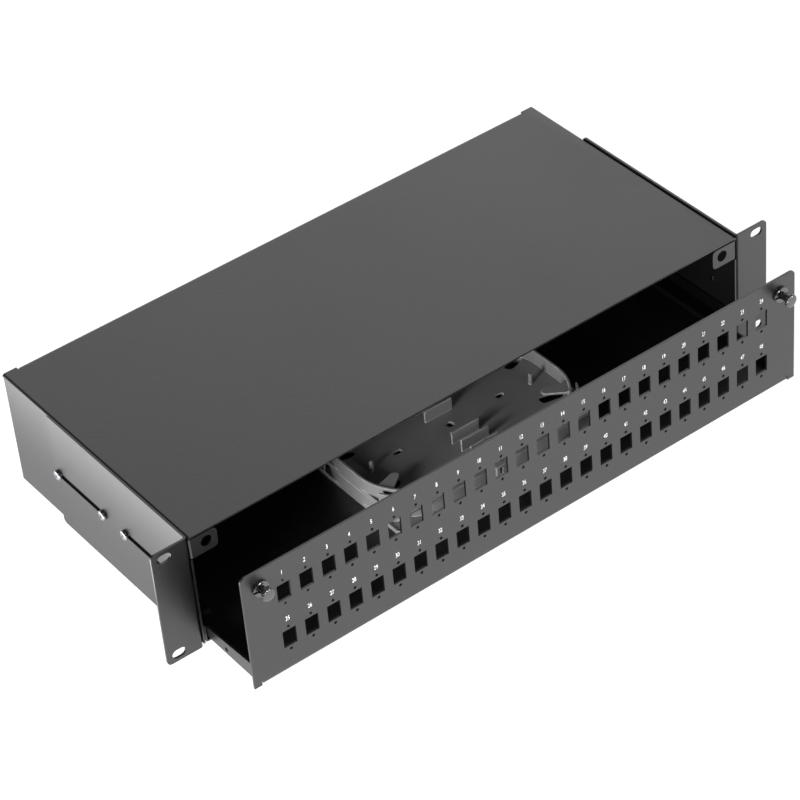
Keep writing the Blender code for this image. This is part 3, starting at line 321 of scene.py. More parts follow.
def guide_paint():
    """Darker, duller copy of the black powder coat for the guides, which lie in the dark of the housing:
    painted shade.
    """
    material, n = new_material("black_guide_painted_shade")
    slow = n.noise(30.0, detail=3.0)
    grain = n.noise(1200.0, detail=3.0)
    # Painted shade: a darker black than the powder coat, standing in for the shade inside the housing.
    colour = n.blend(slow, (0.0020, 0.0020, 0.0021), (0.0032, 0.0032, 0.0034))
    roughness = n.spread(grain, 0.3, 0.7, 0.50, 0.60)
    normal = n.bump(grain, 0.30, 0.00008, n.rounded(0.00015))
    n.surface(colour, roughness, normal, specular=0.12)
    return material


def gloss_plastic():
    """Glossy black nylon with the faint flow marks of a moulding."""
    material, n = new_material("black_gloss_plastic")
    flow = n.noise(260.0, detail=3.0)
    fine = n.noise(2600.0, detail=2.0)
    colour = n.blend(flow, (0.0020, 0.0020, 0.0022), (0.0040, 0.0040, 0.0043))
    roughness = n.spread(fine, 0.3, 0.7, 0.04, 0.08)
    normal = n.bump(flow, 0.06, 0.0001, n.rounded(0.0002))
    n.surface(colour, roughness, normal, specular=1.0, coat=0.5, ior=1.65)
    return material


def tray_plastic():
    """Satin grey moulded plastic whose edges are painted much lighter, as a painted highlight."""
    material, n = new_material("grey_tray_plastic")
    slow = n.noise(35.0, detail=3.0)
    fine = n.noise(1800.0, detail=2.0)
    tone = n.blend(slow, (0.160, 0.160, 0.163), (0.188, 0.188, 0.191))
    # Painted highlight: sharp edges and rims are painted near white.
    colour = n.blend(n.maths("MULTIPLY", n.edges(0.0005), 0.85), tone, (0.80, 0.80, 0.81))
    roughness = n.spread(fine, 0.3, 0.7, 0.27, 0.38)
    normal = n.bump(fine, 0.15, 0.00006, n.rounded(0.0003))
    n.surface(colour, roughness, normal)
    return material


def rubber():
    """Matt black rubber with a dusty bloom."""
    material, n = new_material("black_rubber")
    bloom = n.noise(90.0, detail=5.0, roughness=0.7)
    fine = n.noise(1600.0, detail=3.0)
    colour = n.blend(n.spread(bloom, 0.45, 0.75, 0.0, 1.0), (0.014, 0.014, 0.014), (0.035, 0.034, 0.033))
    roughness = n.spread(bloom, 0.3, 0.7, 0.62, 0.82)
    n.surface(colour, roughness, n.bump(fine, 0.3, 0.0001, n.rounded(0.0004)))
    return material


def zinc_plate():
    """Bright zinc plating with a slight clouding."""
    material, n = new_material("zinc_plate")
    cloud = n.noise(500.0, detail=4.0, roughness=0.6)
    colour = n.blend(cloud, (0.34, 0.35, 0.37), (0.56, 0.57, 0.59))
    roughness = n.spread(cloud, 0.3, 0.7, 0.18, 0.32)
    normal = n.bump(n.noise(3000.0), 0.1, 0.00005, n.rounded(0.0002))
    n.surface(colour, roughness, normal, metallic=1.0)
    return material


def print_ink():
    """White screen-printed ink, thin and slightly uneven."""
    material, n = new_material("white_print_ink")
    uneven = n.noise(1500.0, detail=3.0)
    colour = n.blend(n.spread(uneven, 0.3, 0.6, 0.0, 1.0), (0.62, 0.62, 0.62), (0.84, 0.84, 0.84))
    n.surface(colour, n.spread(uneven, 0.3, 0.7, 0.42, 0.58), n.bump(uneven, 0.2, 0.00003))
    return material


def dress_cad_nodes(finishes, shaded_guide_finish):
    """Each CAD node takes the finish of its slot in the record, and the guides a darker, duller black as
    painted shade.
    """
    slots = {row["node"]: row["material_slot"] for row in frame["record"]["subparts"]}
    for name, node in frame["nodes"].items():
        finish = shaded_guide_finish if name.startswith("drawer_guide") else finishes[slots[name]]
        node.data.materials.clear()
        node.data.materials.append(finish)
        smooth_curves(node)


def smooth_curves(node):
    """Curved walls shade as curves and flat ones stay flat; the mesh itself keeps its points."""
    normals = node.data.attributes.get("custom_normal")
    if normals is not None:
        node.data.attributes.remove(normals)
    node.data.shade_smooth()
    weld = node.modifiers.new("weld", "WELD")
    weld.merge_threshold = 0.000001
    split = node.modifiers.new("split", "EDGE_SPLIT")
    split.split_angle = math.radians(32.0)
    split.use_edge_sharp = False
    weighted = node.modifiers.new("weighted", "WEIGHTED_NORMAL")
    weighted.keep_sharp = True


# Printed numbers

def text_mesh(text):
    """The mesh of a text, and its lowest and highest x and y."""
    curve = bpy.data.curves.new("number", "FONT")
    curve.body = text
    curve.extrude = 0.5
    curve.offset = 0.012
    holder = bpy.data.objects.new("number", curve)
    bpy.context.scene.collection.objects.link(holder)
    bpy.context.view_layer.update()
    mesh = bpy.data.meshes.new_from_object(holder.evaluated_get(bpy.context.evaluated_depsgraph_get()))
    bpy.data.objects.remove(holder)
    xs = [vert.co.x for vert in mesh.vertices]
    ys = [vert.co.y for vert in mesh.vertices]
    return mesh, (min(xs), max(xs), min(ys), max(ys))


def number_mesh(text, centre_x, centre_z, face_y, width, height):
    """A thin mesh of a printed number, on the panel's front face."""
    mesh, (left, right, low, high) = text_mesh(text)
    to_middle = Matrix.Translation((-(left + right) / 2, -(low + high) / 2, 0.0))
    size = Matrix.Diagonal((width, height, INK_THICKNESS, 1.0))
    upright = Matrix.Rotation(math.radians(90.0), 4, "X")
    mesh.transform(Matrix.Translation((centre_x, face_y, centre_z)) @ upright @ size @ to_middle)
    return mesh


def port_numbers(ink):
    """The numbers 1 to 48 above the adapter openings, as one printed piece."""
    low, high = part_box("drawer_tray")
    face_y = low.y - INK_STANDS_OUT
    sample, (left, right, bottom, top) = text_mesh("28")
    bpy.data.meshes.remove(sample)
    width = NUMBER_PAIR_WIDTH / (right - left)
    tall = NUMBER_HEIGHT / (top - bottom)
    bm = bmesh.new()
    for row, height in enumerate(NUMBER_ROWS):
        for column in range(PORT_COLUMNS):
            number = row * PORT_COLUMNS + column + 1
            x = (column - (PORT_COLUMNS - 1) / 2) * PORT_PITCH
            mesh = number_mesh(str(number), x, height, face_y, width, tall)
            bm.from_mesh(mesh)
            bpy.data.meshes.remove(mesh)
    mesh = bpy.data.meshes.new("port_numbers")
    bm.to_mesh(mesh)
    bm.free()
    piece = bpy.data.objects.new("port_numbers", mesh)
    bpy.context.scene.collection.objects.link(piece)
    mesh.materials.clear()
    mesh.materials.append(ink)
    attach(piece, "drawer")


# Turned pieces

def arc(centre, radius, start, end, steps=6):
    """Profile points on an arc, angles in degrees from +radius toward +height."""
    points = []
    for step in range(steps + 1):
        angle = math.radians(start + (end - start) * step / steps)
        points.append((centre[0] + radius * math.cos(angle), centre[1] + radius * math.sin(angle)))
    return points


def lathe(name, profile, steps=ROUND_STEPS, closed=False, shape=None):
    """A turned mesh about Z from (radius, height) points; shape, if given, changes the radii."""
    bm = bmesh.new()
    rings = []
    for radius, height in profile:
        if radius < 1e-7:
            rings.append([bm.verts.new((0.0, 0.0, height))] * steps)
            continue
        ring = []
        for step in range(steps):
            turn = 2.0 * math.pi * step / steps
            reach = radius if shape is None else shape(turn, radius, height)
            ring.append(bm.verts.new((reach * math.cos(turn), reach * math.sin(turn), height)))
        rings.append(ring)
    pairs = list(zip(rings, rings[1:]))
    if closed:
        pairs.append((rings[-1], rings[0]))
    for upper, lower in pairs:
        for step in range(steps):
            following = (step + 1) % steps
            corners = [upper[step], upper[following], lower[following], lower[step]]
            bm.faces.new(list(dict.fromkeys(corners)))
    return mesh_object(name, bm)


def block(name, low, high, taper=1.0):
    """A block whose underside is taper times its top, to cut with."""
    bm = bmesh.new()
    middle = (Vector(low) + Vector(high)) / 2
    corners = []
    for height, share in ((low[2], taper), (high[2], 1.0)):
        for x, y in ((low[0], low[1]), (high[0], low[1]), (high[0], high[1]), (low[0], high[1])):
            corners.append(bm.verts.new((middle.x + (x - middle.x) * share,
                                         middle.y + (y - middle.y) * share, height)))
    for face in ((0, 3, 2, 1), (4, 5, 6, 7), (0, 1, 5, 4), (1, 2, 6, 5), (2, 3, 7, 6), (3, 0, 4, 7)):
        bm.faces.new([corners[index] for index in face])
    return mesh_object(name, bm)


def mesh_object(name, bm):
    bmesh.ops.recalc_face_normals(bm, faces=bm.faces)
    mesh = bpy.data.meshes.new(name)
    bm.to_mesh(mesh)
    bm.free()
    made = bpy.data.objects.new(name, mesh)
    bpy.context.scene.collection.objects.link(made)
    return made


def cut(piece, tools, operation="DIFFERENCE"):
    """Takes the tools' shapes out of a piece, or joins them to it, and removes the tools."""
    for tool in tools:
        modifier = piece.modifiers.new("cut", "BOOLEAN")
        modifier.operation = operation
        modifier.solver = "EXACT"
        modifier.object = tool
    bpy.context.view_layer.update()
    graph = bpy.context.evaluated_depsgraph_get()
    mesh = bpy.data.meshes.new_from_object(piece.evaluated_get(graph))
    piece.modifiers.clear()
    piece.data = mesh
    for tool in tools:
        bpy.data.objects.remove(tool)


def finish_piece(piece, node, body, finish, matrix, angle=30.0):
    """Puts a detailed piece in the place of its CAD node."""
    piece.data.transform(matrix)
    piece.data.shade_smooth()
    piece.data.set_sharp_from_angle(angle=math.radians(angle))
    piece.data.materials.clear()
    piece.data.materials.append(finish)
    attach(piece, body)
    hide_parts(node)


def toward(axis, sign):
    """Turns +Z to an axis."""
    if axis == "Y":
        return Matrix.Rotation(math.radians(-90.0 * sign), 4, "X")
    if axis == "X":
        return Matrix.Rotation(math.radians(90.0 * sign), 4, "Y")
    return Matrix.Identity(4)


# Latches

def latch_collar(side, finish):
    """Collar with two finger slots and a split barrel that snaps into the housing's tab."""
    node = "latch_grommet_" + side
    fillet = COLLAR_FILLET
    profile = (arc((COLLAR_RADIUS - fillet, COLLAR_FACE - fillet), fillet, 90.0, 0.0)
               + [(COLLAR_RADIUS, COLLAR_SEAT + 0.0002), (COLLAR_RADIUS - 0.0002, COLLAR_SEAT)]
               + [(BARREL_RADIUS, COLLAR_SEAT), (BARREL_RADIUS, -BARREL_BACK + 0.0010)]
               + arc((BARREL_RADIUS - BARREL_ROUND, -BARREL_BACK + 0.0006), BARREL_ROUND, 0.0, -80.0)
               + [(BARREL_BORE, -BARREL_BACK)]
               + arc((BARREL_BORE + BORE_ROUND, COLLAR_FACE - BORE_ROUND), BORE_ROUND, 180.0, 90.0))
    piece = lathe(node + "_fine", profile, closed=True)
    reach = COLLAR_RADIUS + CUT_PAST
    back = -BARREL_BACK - CUT_PAST
    half = SLOT_WIDTH / 2
    tools = [block("cut", (-reach, -half, back), (reach, half, -BARREL_SLIT_START)),
             block("cut", (-half, -reach, back), (half, reach, -BARREL_SLIT_START)),
             block("cut", (-reach, -SLOT_WIDTH, COLLAR_FACE - COLLAR_GROOVE),
                   (reach, SLOT_WIDTH, COLLAR_FACE + CUT_PAST), 0.9)]
    cut(piece, tools)
    low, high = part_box(node)
    place = Vector(((low.x + high.x) / 2, low.y + COLLAR_FACE, (low.z + high.z) / 2))
    finish_piece(piece, node, "drawer", finish,
                 Matrix.Translation(place) @ toward("Y", -1))


def latch_plunger(side, finish):
    """Fluted mushroom head on a forked pin."""
    node = "latch_plunger_" + side
    low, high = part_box(node)
    tip = HEAD_HALF - (high.y - low.y)

    def flutes(turn, radius, height):
        if radius < HEAD_RADIUS * 0.80 or abs(height) > HEAD_HALF:
            return radius
        wave = 0.5 + 0.5 * math.cos(HEAD_FLUTES * turn)
        return radius - FLUTE_DEPTH * wave ** 4

    face = [(0.0, HEAD_HALF - 0.0001), (HEAD_RADIUS * 0.30, HEAD_HALF),
            (HEAD_RADIUS * 0.60, HEAD_HALF - 0.0001)]
    flare = [(FLARE_RADIUS - 0.0001, tip + 0.0021), (FLARE_RADIUS, tip + 0.0019),
             (FLARE_RADIUS, tip + 0.0015), (FLARE_RADIUS - 0.0003, tip + 0.0011)]
    profile = (face
               + arc((HEAD_RADIUS - HEAD_ROUND, 0.0), HEAD_ROUND, 78.0, -30.0, 10)
               + arc((HEAD_RADIUS * 0.52, 0.0), HEAD_HALF, -30.0, -90.0)[2:]
               + [(SHANK_RADIUS + 0.0004, -HEAD_HALF), (SHANK_RADIUS, -HEAD_HALF - 0.0004)]
               + [(SHANK_RADIUS, tip + 0.0026)] + flare + [(SHANK_RADIUS - 0.0006, tip), (0.0, tip)])
    piece = lathe(node + "_fine", profile, steps=96, shape=flutes)
    half = SLOT_WIDTH / 2
    reach = COLLAR_RADIUS + 0.0005
    cut(piece, [block("cut", (-reach, -half, tip - 0.002), (reach, half, -HEAD_HALF - 0.0012))])
    place = Vector(((low.x + high.x) / 2, low.y + HEAD_HALF, (low.z + high.z) / 2))
    finish_piece(piece, node, "latch_" + side, finish,
                 Matrix.Translation(place) @ toward("Y", -1))


# Screws, grommets and plugs

def screw(node, body, sizes, axis, sign, finish):
    """Pan head screw with a cross recess and a rolled thread."""
    radius, height, shank = sizes
    low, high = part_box(node)
    index = "XYZ".index(axis)
    length = high[index] - low[index] - height
    pitch = shank * THREAD_PITCH
    top = arc((0.0, height - radius * 2.6), radius * 2.6, 90.0, 76.0, 4)
    top = [(r, h) for r, h in top if r < radius * 0.66]
    profile = (top + arc((radius - height * 0.55, height * 0.38), height * 0.55, 62.0, 0.0, 8)
               + [(radius, 0.0002), (radius - 0.0002, 0.0), (shank + 0.0003, 0.0), (shank, -0.0003)])
    rows = max(8, int(length / pitch * 8))
    profile += [(shank, -0.0004 - (length - 0.0010) * row / rows) for row in range(rows + 1)]
    profile += [(shank * 0.72, -length), (0.0, -length)]

    def thread(turn, reach, along):
        if abs(reach - shank) > 1e-6 or along > -0.0004:
            return reach
        phase = (along / pitch + turn / (2.0 * math.pi)) % 1.0
        return reach - shank * THREAD_DEPTH * abs(2.0 * phase - 1.0)

    piece = lathe(node + "_fine", profile, steps=48, shape=thread)
    half, slim, deep = radius * 0.56, radius * 0.13, height * 0.52
    tools = [block("cut", (-half, -slim, height - deep), (half, slim, height + CUT_PAST), 0.72),
             block("cut", (-slim, -half, height - deep), (slim, half, height + CUT_PAST), 0.72)]
    cut(piece, tools)
    place = (low + high) / 2
    place[index] = high[index] - height if sign > 0 else low[index] + height
    slot_turn = Matrix.Rotation(math.radians((sum(map(ord, node)) * 37) % 90), 4, "Z")
    finish_piece(piece, node, body, finish,
                 Matrix.Translation(place) @ toward(axis, sign) @ slot_turn)


def screws(finish):
    for side, sign in (("left", -1), ("right", 1)):
        for number in (1, 2, 3, 4):
            screw(f"bracket_screw_{side}_{number}", "housing", BRACKET_SCREW, "X", sign, finish)
    screw("tray_screw", "drawer", TRAY_SCREW, "Z", 1, finish)


def cable_grommet(side, finish):
    """Rubber grommet, held by the groove round its neck, with soft lips."""
    node = "cable_grommet_" + side
    low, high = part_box(node)
    outer = (high.x - low.x) / 2
    half = (high.y - low.y) / 2
    bore = GROMMET_BORE
    groove = SHEET / 2 + SHEET_GAP
    lip = GROMMET_LIP
    profile = (arc((outer - lip, half - lip), lip, 90.0, 0.0) + [(outer, groove), (ENTRY_NECK, groove)]
               + [(ENTRY_NECK, -groove), (outer, -groove)] + arc((outer - lip, lip - half), lip, 0.0, -90.0)
               + arc((bore + lip, lip - half), lip, -90.0, -180.0) + [(bore + 0.0004, 0.0)]
               + arc((bore + lip, half - lip), lip, 180.0, 90.0)
               + [(bore + 0.0022, half - 0.0003), (bore + 0.0026, half)])
    piece = lathe(node + "_fine", profile, closed=True)
    finish_piece(piece, node, "housing", finish,
                 Matrix.Translation((low + high) / 2) @ toward("Y", 1))


def blanking_plug(side, finish):
    """Snap-in plug with a dished cap and a slotted skirt."""
    node = "blanking_plug_" + side
    low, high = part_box(node)
    outer = (high.x - low.x) / 2
    deep = high.y - low.y
    cap = PLUG_CAP
    rim = PLUG_RIM
    skirt = ENTRY_NECK - PLUG_WALL
    dish = cap - PLUG_DISH
    profile = ([(0.0, dish), (outer * 0.62, dish), (outer * 0.74, cap - 0.0001)]
               + arc((outer - rim, cap - rim), rim, 90.0, 0.0) + [(outer, 0.0), (ENTRY_NECK, 0.0)]
               + [(ENTRY_NECK - 0.0003, -0.0020), (ENTRY_NECK, -0.0026), (ENTRY_NECK - 0.0010, cap - deep)]
               + [(skirt, cap - deep), (skirt, 0.0), (0.0, 0.0)])
    piece = lathe(node + "_fine", profile)
    reach = outer + CUT_PAST
    back = cap - deep - CUT_PAST
    tools = [block("cut", (-reach, -PLUG_SLIT, back), (reach, PLUG_SLIT, -0.0010)),
             block("cut", (-PLUG_SLIT, -reach, back), (PLUG_SLIT, reach, -0.0010))]
    cut(piece, tools)
    place = (low + high) / 2
    place.y = high.y - cap
    finish_piece(piece, node, "housing", finish,
                 Matrix.Translation(place) @ toward("Y", 1))


# Splice trays

def rounded_rectangle(width, depth, radius, steps):
    """Outline of a rectangle with round corners, about the middle."""
    points = []
    for start, sx, sy in ((0, 1, 1), (90, -1, 1), (180, -1, -1), (270, 1, -1)):
        centre = (sx * (width / 2 - radius), sy * (depth / 2 - radius))
        points += arc(centre, radius, start, start + 90, steps)
    return points


def prism(name, outline, low, high):
    """A solid with upright walls on an outline."""
    bm = bmesh.new()
    lower = [bm.verts.new((x, y, low)) for x, y in outline]
    upper = [bm.verts.new((x, y, high)) for x, y in outline]
    bm.faces.new(lower[::-1])
    bm.faces.new(upper)
    for index in range(len(outline)):
        following = (index + 1) % len(outline)
        bm.faces.new((lower[index], lower[following], upper[following], upper[index]))
    return mesh_object(name, bm)


def obround(length, width, centre, steps=12):
    """Outline of a slot with round ends, along X."""
    half = (length - width) / 2
    return (arc((centre[0] + half, centre[1]), width / 2, -90, 90, steps)
            + arc((centre[0] - half, centre[1]), width / 2, 90, 270, steps))


def tray_corner(sx, sy):
    """Middle of the round of one corner of the tray's wall."""
    return (sx * (TRAY_SIZE[0] / 2 - TRAY_CORNER), sy * (TRAY_SIZE[1] / 2 - TRAY_CORNER))


def round_corner(sx, sy, reach, turn):
    """The point at a reach and an angle from the middle of a corner's round."""
    centre = tray_corner(sx, sy)
    return (centre[0] + sx * reach * math.cos(turn), centre[1] + sy * reach * math.sin(turn))


def horn(sx, sy):
    """Guide wall outside one corner: it leaves the tray's wall and ends open, with a round lip."""
    steps = 20
    far, near = [], []
    for step in range(steps + 1):
        share = step / steps
        turn = math.radians(HORN_ARC[0] + (HORN_ARC[1] - HORN_ARC[0]) * share)
        gap = HORN_GAP * min(1.0, 2.2 * (1.0 - share))
        lip = min(1.0, 0.45 + 8.0 * share)
        outer = TRAY_CORNER + gap + HORN_WALL * (0.5 + 0.5 * lip if share < 0.999 else 0.2)
        if share < 0.55:
            inner = TRAY_CORNER + gap + HORN_WALL * (0.5 - 0.5 * lip)
        else:
            inner = TRAY_CORNER + gap * 0.9 - 0.0004
        far.append(round_corner(sx, sy, outer, turn))
        near.append(round_corner(sx, sy, inner, turn))
    return far + near[::-1]


def horn_window(sx, sy):
    """Outline of the fibre's way through the wall behind a horn."""
    near, far = TRAY_CORNER - 2 * TRAY_WALL, TRAY_CORNER + HORN_GAP / 2
    first, last = (math.radians(angle) for angle in ENTRY_ARC)
    corners = ((near, first), (far, first), (far, last), (near, last))
    return [round_corner(sx, sy, reach, turn) for reach, turn in corners]


def finger(sx, sy):
    """Outline of a hold-down finger, wide at the wall and round at its tip."""
    turn = math.radians(FINGER_ANGLE)
    ahead = Vector((-math.cos(turn), math.sin(turn)))
    across = Vector((math.sin(turn), math.cos(turn)))
    base = Vector((TRAY_SIZE[0] / 2 - FINGER_ROOT[0], FINGER_ROOT[1] - TRAY_SIZE[1] / 2))
    root = base - ahead * (FINGER_BACK[0] + sx * FINGER_BACK[1])
    tip = base + ahead * (FINGER_LENGTH - FINGER_HALVES[1])
    wide, slim = FINGER_HALVES
    points = [root - across * wide]
    for step in range(25):
        angle = math.radians(-82.0 + 164.0 * step / 24)
        points.append(tip + ahead * slim * math.cos(angle) + across * slim * math.sin(angle))
    points.append(root + across * wide)
    return [(sx * point.x + FINGER_ASIDE, -sy * point.y) for point in points]


def finger_hole(sx, sy):
    """Outline of the opening in the floor under a finger: a slanted obround."""
    first, second, radius = FRONT_HOLE if sy < 0 else REAR_HOLE
    lean = math.degrees(math.atan2(second[1] - first[1], second[0] - first[0]))
    points = arc(second, radius, lean - 90.0, lean + 90.0, 16)
    points += arc(first, radius, lean + 90.0, lean + 270.0, 16)
    return [(sx * x, sy * y) for x, y in points]


def tray_steps(with_fingers):
    """The shapes joined to and cut from a tray's foot, in order."""
    width, depth = TRAY_SIZE
    wall = prism("wall", rounded_rectangle(width, depth, TRAY_CORNER, 24), TRAY_FLOOR / 2, TRAY_TALL)
    room = rounded_rectangle(width - 2 * TRAY_WALL, depth - 2 * TRAY_WALL, TRAY_CORNER - TRAY_WALL, 24)
    cut(wall, [prism("room", room, 0.0, TRAY_TALL * 2)])
    steps = [(wall, "UNION")]
    corners = [(sx, sy) for sx in (-1, 1) for sy in (-1, 1)]
    for sx, sy in corners:
        top = TRAY_TALL - HORN_DROP
        steps.append((prism("horn", horn(sx, sy), TRAY_FLOOR / 2, top), "UNION"))
        steps.append((prism("way", horn_window(sx, sy), TRAY_FLOOR, TRAY_TALL - ENTRY_RIM), "DIFFERENCE"))
        steps.append((prism("hole", finger_hole(sx, sy), -0.001, TRAY_FLOOR + 0.0005), "DIFFERENCE"))
    if with_fingers:
        top = TRAY_TALL - FINGER_DROP
        for sx, sy in corners:
            steps.append((prism("finger", finger(sx, sy), top - FINGER_THICK, top), "UNION"))
    for sign in (-1, 1):
        profile = arc((0.0008, PIN_TALL - 0.0005), 0.0005, 90.0, 0.0, 4) + [(0.0016, TRAY_FLOOR / 2)]
        pin = lathe("pin", [(0.0, PIN_TALL)] + profile + [(0.0, TRAY_FLOOR / 2)], 24)
        pin.data.transform(Matrix.Translation((sign * PIN_PLACE[0], PIN_PLACE[1], 0.0)))
        steps.append((pin, "UNION"))
        oval = obround(*OVAL_SIZE, (sign * OVAL_PLACE[0], OVAL_PLACE[1]))
        steps.append((prism("oval", oval, -0.001, TRAY_FLOOR + 0.001), "DIFFERENCE"))
        near, far = sorted((sign * (depth - TRAY_WALL) / 2, sign * (depth / 2 + CLIP_SIZE[1])))
        steps.append((block("clip", (-CLIP_SIZE[0] / 2, near, CLIP_SIZE[2]),
                            (CLIP_SIZE[0] / 2, far, TRAY_TALL)), "UNION"))
        near, far = sorted((sign * (depth / 2 - TRAY_WALL * 2), sign * (depth / 2 + CLIP_SIZE[1] * 2)))
        low = CLIP_SIZE[2] + CLIP_WINDOW_RISE
        steps.append((block("window", (-CLIP_WINDOW[0] / 2, near, low),
                            (CLIP_WINDOW[0] / 2, far, low + CLIP_WINDOW[1])), "DIFFERENCE"))
    half, thick = HOLDER_SIZE[0] / 2, HOLDER_SIZE[1] / 2
    for row in HOLDER_ROWS:
        tall = HOLDER_SIZE[2] + (HOLDER_FRONT_RISE if row == HOLDER_ROWS[0] else 0.0)
        plate = block("holder", (-half, row - thick, TRAY_FLOOR / 2), (half, row + thick, tall))
        steps.append((plate, "UNION"))
    centre = [(x, y + CENTRE_HOLE[0]) for x, y in arc((0.0, 0.0), CENTRE_HOLE[1], 0.0, 350.0, 35)]
    steps.append((prism("centre", centre, -0.001, TRAY_FLOOR + 0.002), "DIFFERENCE"))
    return steps


def splice_tray(node, finish, with_fingers):
    """Tray with a round-cornered wall on a square foot, guides, pins and plates that hold the splices."""
    width, depth = TRAY_SIZE
    foot = rounded_rectangle(width, depth, TRAY_FOOT_CORNER, 8)
    piece = prism(node + "_fine", foot, 0.0, TRAY_FLOOR + TRAY_LIP)
    pocket = rounded_rectangle(width - 2 * TRAY_LIP, depth - 2 * TRAY_LIP, TRAY_FOOT_CORNER - TRAY_LIP, 8)
    cut(piece, [prism("pocket", pocket, TRAY_FLOOR, TRAY_TALL)])
    for tool, operation in tray_steps(with_fingers):
        cut(piece, [tool], operation)
    low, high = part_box(node)
    place = Vector(((low.x + high.x) / 2, (low.y + high.y) / 2, low.z))
    finish_piece(piece, node, "drawer", finish, Matrix.Translation(place))


# Studio

def camera():
    """The photograph's camera: place, direction, lens and shift."""
    data = bpy.data.cameras.new("camera")
    data.lens = CAMERA_LENS
    data.sensor_width = SENSOR_WIDTH
    data.shift_x, data.shift_y = CAMERA_SHIFT
    data.clip_start = 0.05
    data.clip_end = 50.0
    shot = bpy.data.objects.new("camera", data)
    heading = Matrix.Rotation(-math.radians(CAMERA_HEADING), 4, "Z")
    pitch = Matrix.Rotation(math.radians(90.0 + CAMERA_PITCH), 4, "X")
    roll = Matrix.Rotation(math.radians(CAMERA_ROLL), 4, "Z")
    shot.matrix_world = Matrix.Translation(CAMERA_PLACE) @ heading @ pitch @ roll
    bpy.context.scene.collection.objects.link(shot)
    bpy.context.scene.camera = shot


def seen_directly(n):
    """1 for rays from the camera, mirrors and glass, and 0 for light that reaches a matt wall."""
    path = n.add("ShaderNodeLightPath")
    shiny = n.maths("MAXIMUM", path.outputs["Is Glossy Ray"], path.outputs["Is Transmission Ray"])
    return n.maths("MAXIMUM", path.outputs["Is Camera Ray"], shiny)


def floor():
    """A white floor that keeps a soft shadow and otherwise melts into the background."""
    material, n = new_material("studio_floor")
    shade = n.add("ShaderNodeBsdfDiffuse")
    shadow = n.add("ShaderNodeBsdfDiffuse")
    for node, tone in ((shade, FLOOR_ON_MATT), (shadow, FLOOR_SHADOW)):
        node.inputs["Color"].default_value = (tone, tone, tone, 1.0)
    glow = n.add("ShaderNodeEmission")
    glow.inputs["Strength"].default_value = FLOOR_GLOW
    lit = n.add("ShaderNodeAddShader")
    n.join(shadow.outputs["BSDF"], lit.inputs[0])
    n.join(glow.outputs["Emission"], lit.inputs[1])
    mix = n.add("ShaderNodeMixShader")
    n.join(seen_directly(n), mix.inputs["Fac"])
    n.join(shade.outputs["BSDF"], mix.inputs[1])
    n.join(lit.outputs["Shader"], mix.inputs[2])
    output = n.add("ShaderNodeOutputMaterial")
    n.join(mix.outputs["Shader"], output.inputs["Surface"])
    bm = bmesh.new()
    bmesh.ops.create_grid(bm, x_segments=1, y_segments=1, size=FLOOR_SIZE / 2)
    mesh = bpy.data.meshes.new("floor")
    bm.to_mesh(mesh)
    bm.free()
    mesh.materials.append(material)
    ground = bpy.data.objects.new("floor", mesh)
    ground.location.z = cad_low.z
    bpy.context.scene.collection.objects.link(ground)


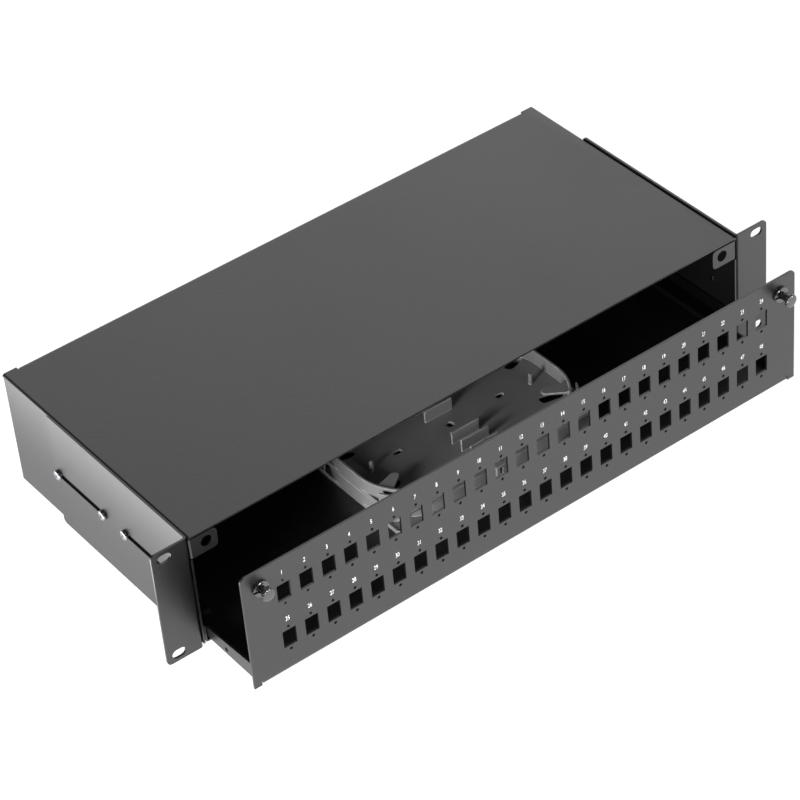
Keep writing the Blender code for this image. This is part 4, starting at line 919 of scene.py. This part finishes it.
def world():
    """Even white surroundings, darker straight above; white to the camera and dimmer as a lamp."""
    made = bpy.data.worlds.new("studio")
    made.use_nodes = True
    n = Nodes(made.node_tree)
    direction = n.add("ShaderNodeSeparateXYZ")
    n.join(n.add("ShaderNodeTexCoord").outputs["Generated"], direction.inputs[0])
    path = n.add("ShaderNodeLightPath")
    top = n.spread(direction.outputs["Z"], SKY_EDGE[0], SKY_EDGE[1], 1.0, SKY_ABOVE)
    slope = n.maths("MULTIPLY", top, n.spread(direction.outputs["Z"], *SKY_SLOPE))
    open_sky = n.maths("MULTIPLY", slope, n.spread(direction.outputs["X"], *SKY_TURN))
    left = n.spread(direction.outputs["X"], *SKY_LEFT)
    glossy = n.maths("MULTIPLY", n.maths("MULTIPLY", open_sky, left), SKY_IN_GLOSS)
    ahead = n.spread(direction.outputs["Y"], *SKY_AHEAD)
    matt = n.maths("MULTIPLY", n.maths("MULTIPLY", open_sky, ahead), SKY_ON_MATT)
    shiny = path.outputs["Is Glossy Ray"]
    strength = n.add("ShaderNodeMix", data_type="FLOAT")
    n.join(shiny, strength.inputs[0])
    n.join(matt, strength.inputs[2])
    n.join(glossy, strength.inputs[3])
    lamp = n.add("ShaderNodeBackground")
    n.join(strength.outputs[0], lamp.inputs["Strength"])
    backdrop = n.add("ShaderNodeBackground")
    for node in (lamp, backdrop):
        node.inputs["Color"].default_value = (1.0, 1.0, 1.0, 1.0)
    mix = n.add("ShaderNodeMixShader")
    n.join(path.outputs["Is Camera Ray"], mix.inputs["Fac"])
    n.join(lamp.outputs["Background"], mix.inputs[1])
    n.join(backdrop.outputs["Background"], mix.inputs[2])
    output = n.add("ShaderNodeOutputWorld")
    n.join(mix.outputs["Shader"], output.inputs["Surface"])
    bpy.context.scene.world = made


def softbox(name, place, size, power, mirrored):
    """A large square lamp that faces the object; one that is not mirrored leaves no highlights."""
    data = bpy.data.lights.new(name, "AREA")
    data.shape = "SQUARE"
    data.size = size
    data.energy = power
    lamp = bpy.data.objects.new(name, data)
    lamp.location = place
    lamp.rotation_mode = "QUATERNION"
    lamp.rotation_quaternion = (Vector(place) - CENTRE).to_track_quat("Z", "Y")
    lamp.visible_glossy = mirrored
    bpy.context.scene.collection.objects.link(lamp)


def floor_card(name, place, size, power):
    """A white card on the floor, lit from above, that throws its light up at a side wall."""
    data = bpy.data.lights.new(name, "AREA")
    data.shape = "RECTANGLE"
    data.size, data.size_y = size
    data.energy = power
    lamp = bpy.data.objects.new(name, data)
    lamp.location = place
    lamp.rotation_euler = (math.pi, 0.0, 0.0)
    lamp.visible_camera = False
    bpy.context.scene.collection.objects.link(lamp)


def studio():
    """World, floor and lamps of the photograph's white studio."""
    world()
    floor()
    floor_card("left_card", (*LEFT_CARD_PLACE, cad_low.z + LEFT_CARD_RISE), LEFT_CARD_SIZE, LEFT_CARD_WATTS)
    for name, place, size, power, mirrored in SOFTBOXES:
        softbox(name, place, size, power, mirrored)
    bpy.context.scene.view_settings.view_transform = "Standard"


finishes = {
    "black_steel": powder_coat(),
    "black_plastic": gloss_plastic(),
    "grey_plastic": tray_plastic(),
    "rubber": rubber(),
    "zinc": zinc_plate(),
}
camera()
dress_cad_nodes(finishes, guide_paint())
port_numbers(print_ink())
for side in ("left", "right"):
    latch_collar(side, finishes["black_plastic"])
    latch_plunger(side, finishes["black_plastic"])
    cable_grommet(side, finishes["rubber"])
    blanking_plug(side, finishes["black_plastic"])
screws(finishes["zinc"])
splice_tray("splice_tray_upper", finishes["grey_plastic"], True)
splice_tray("splice_tray_lower", finishes["grey_plastic"], False)
studio()
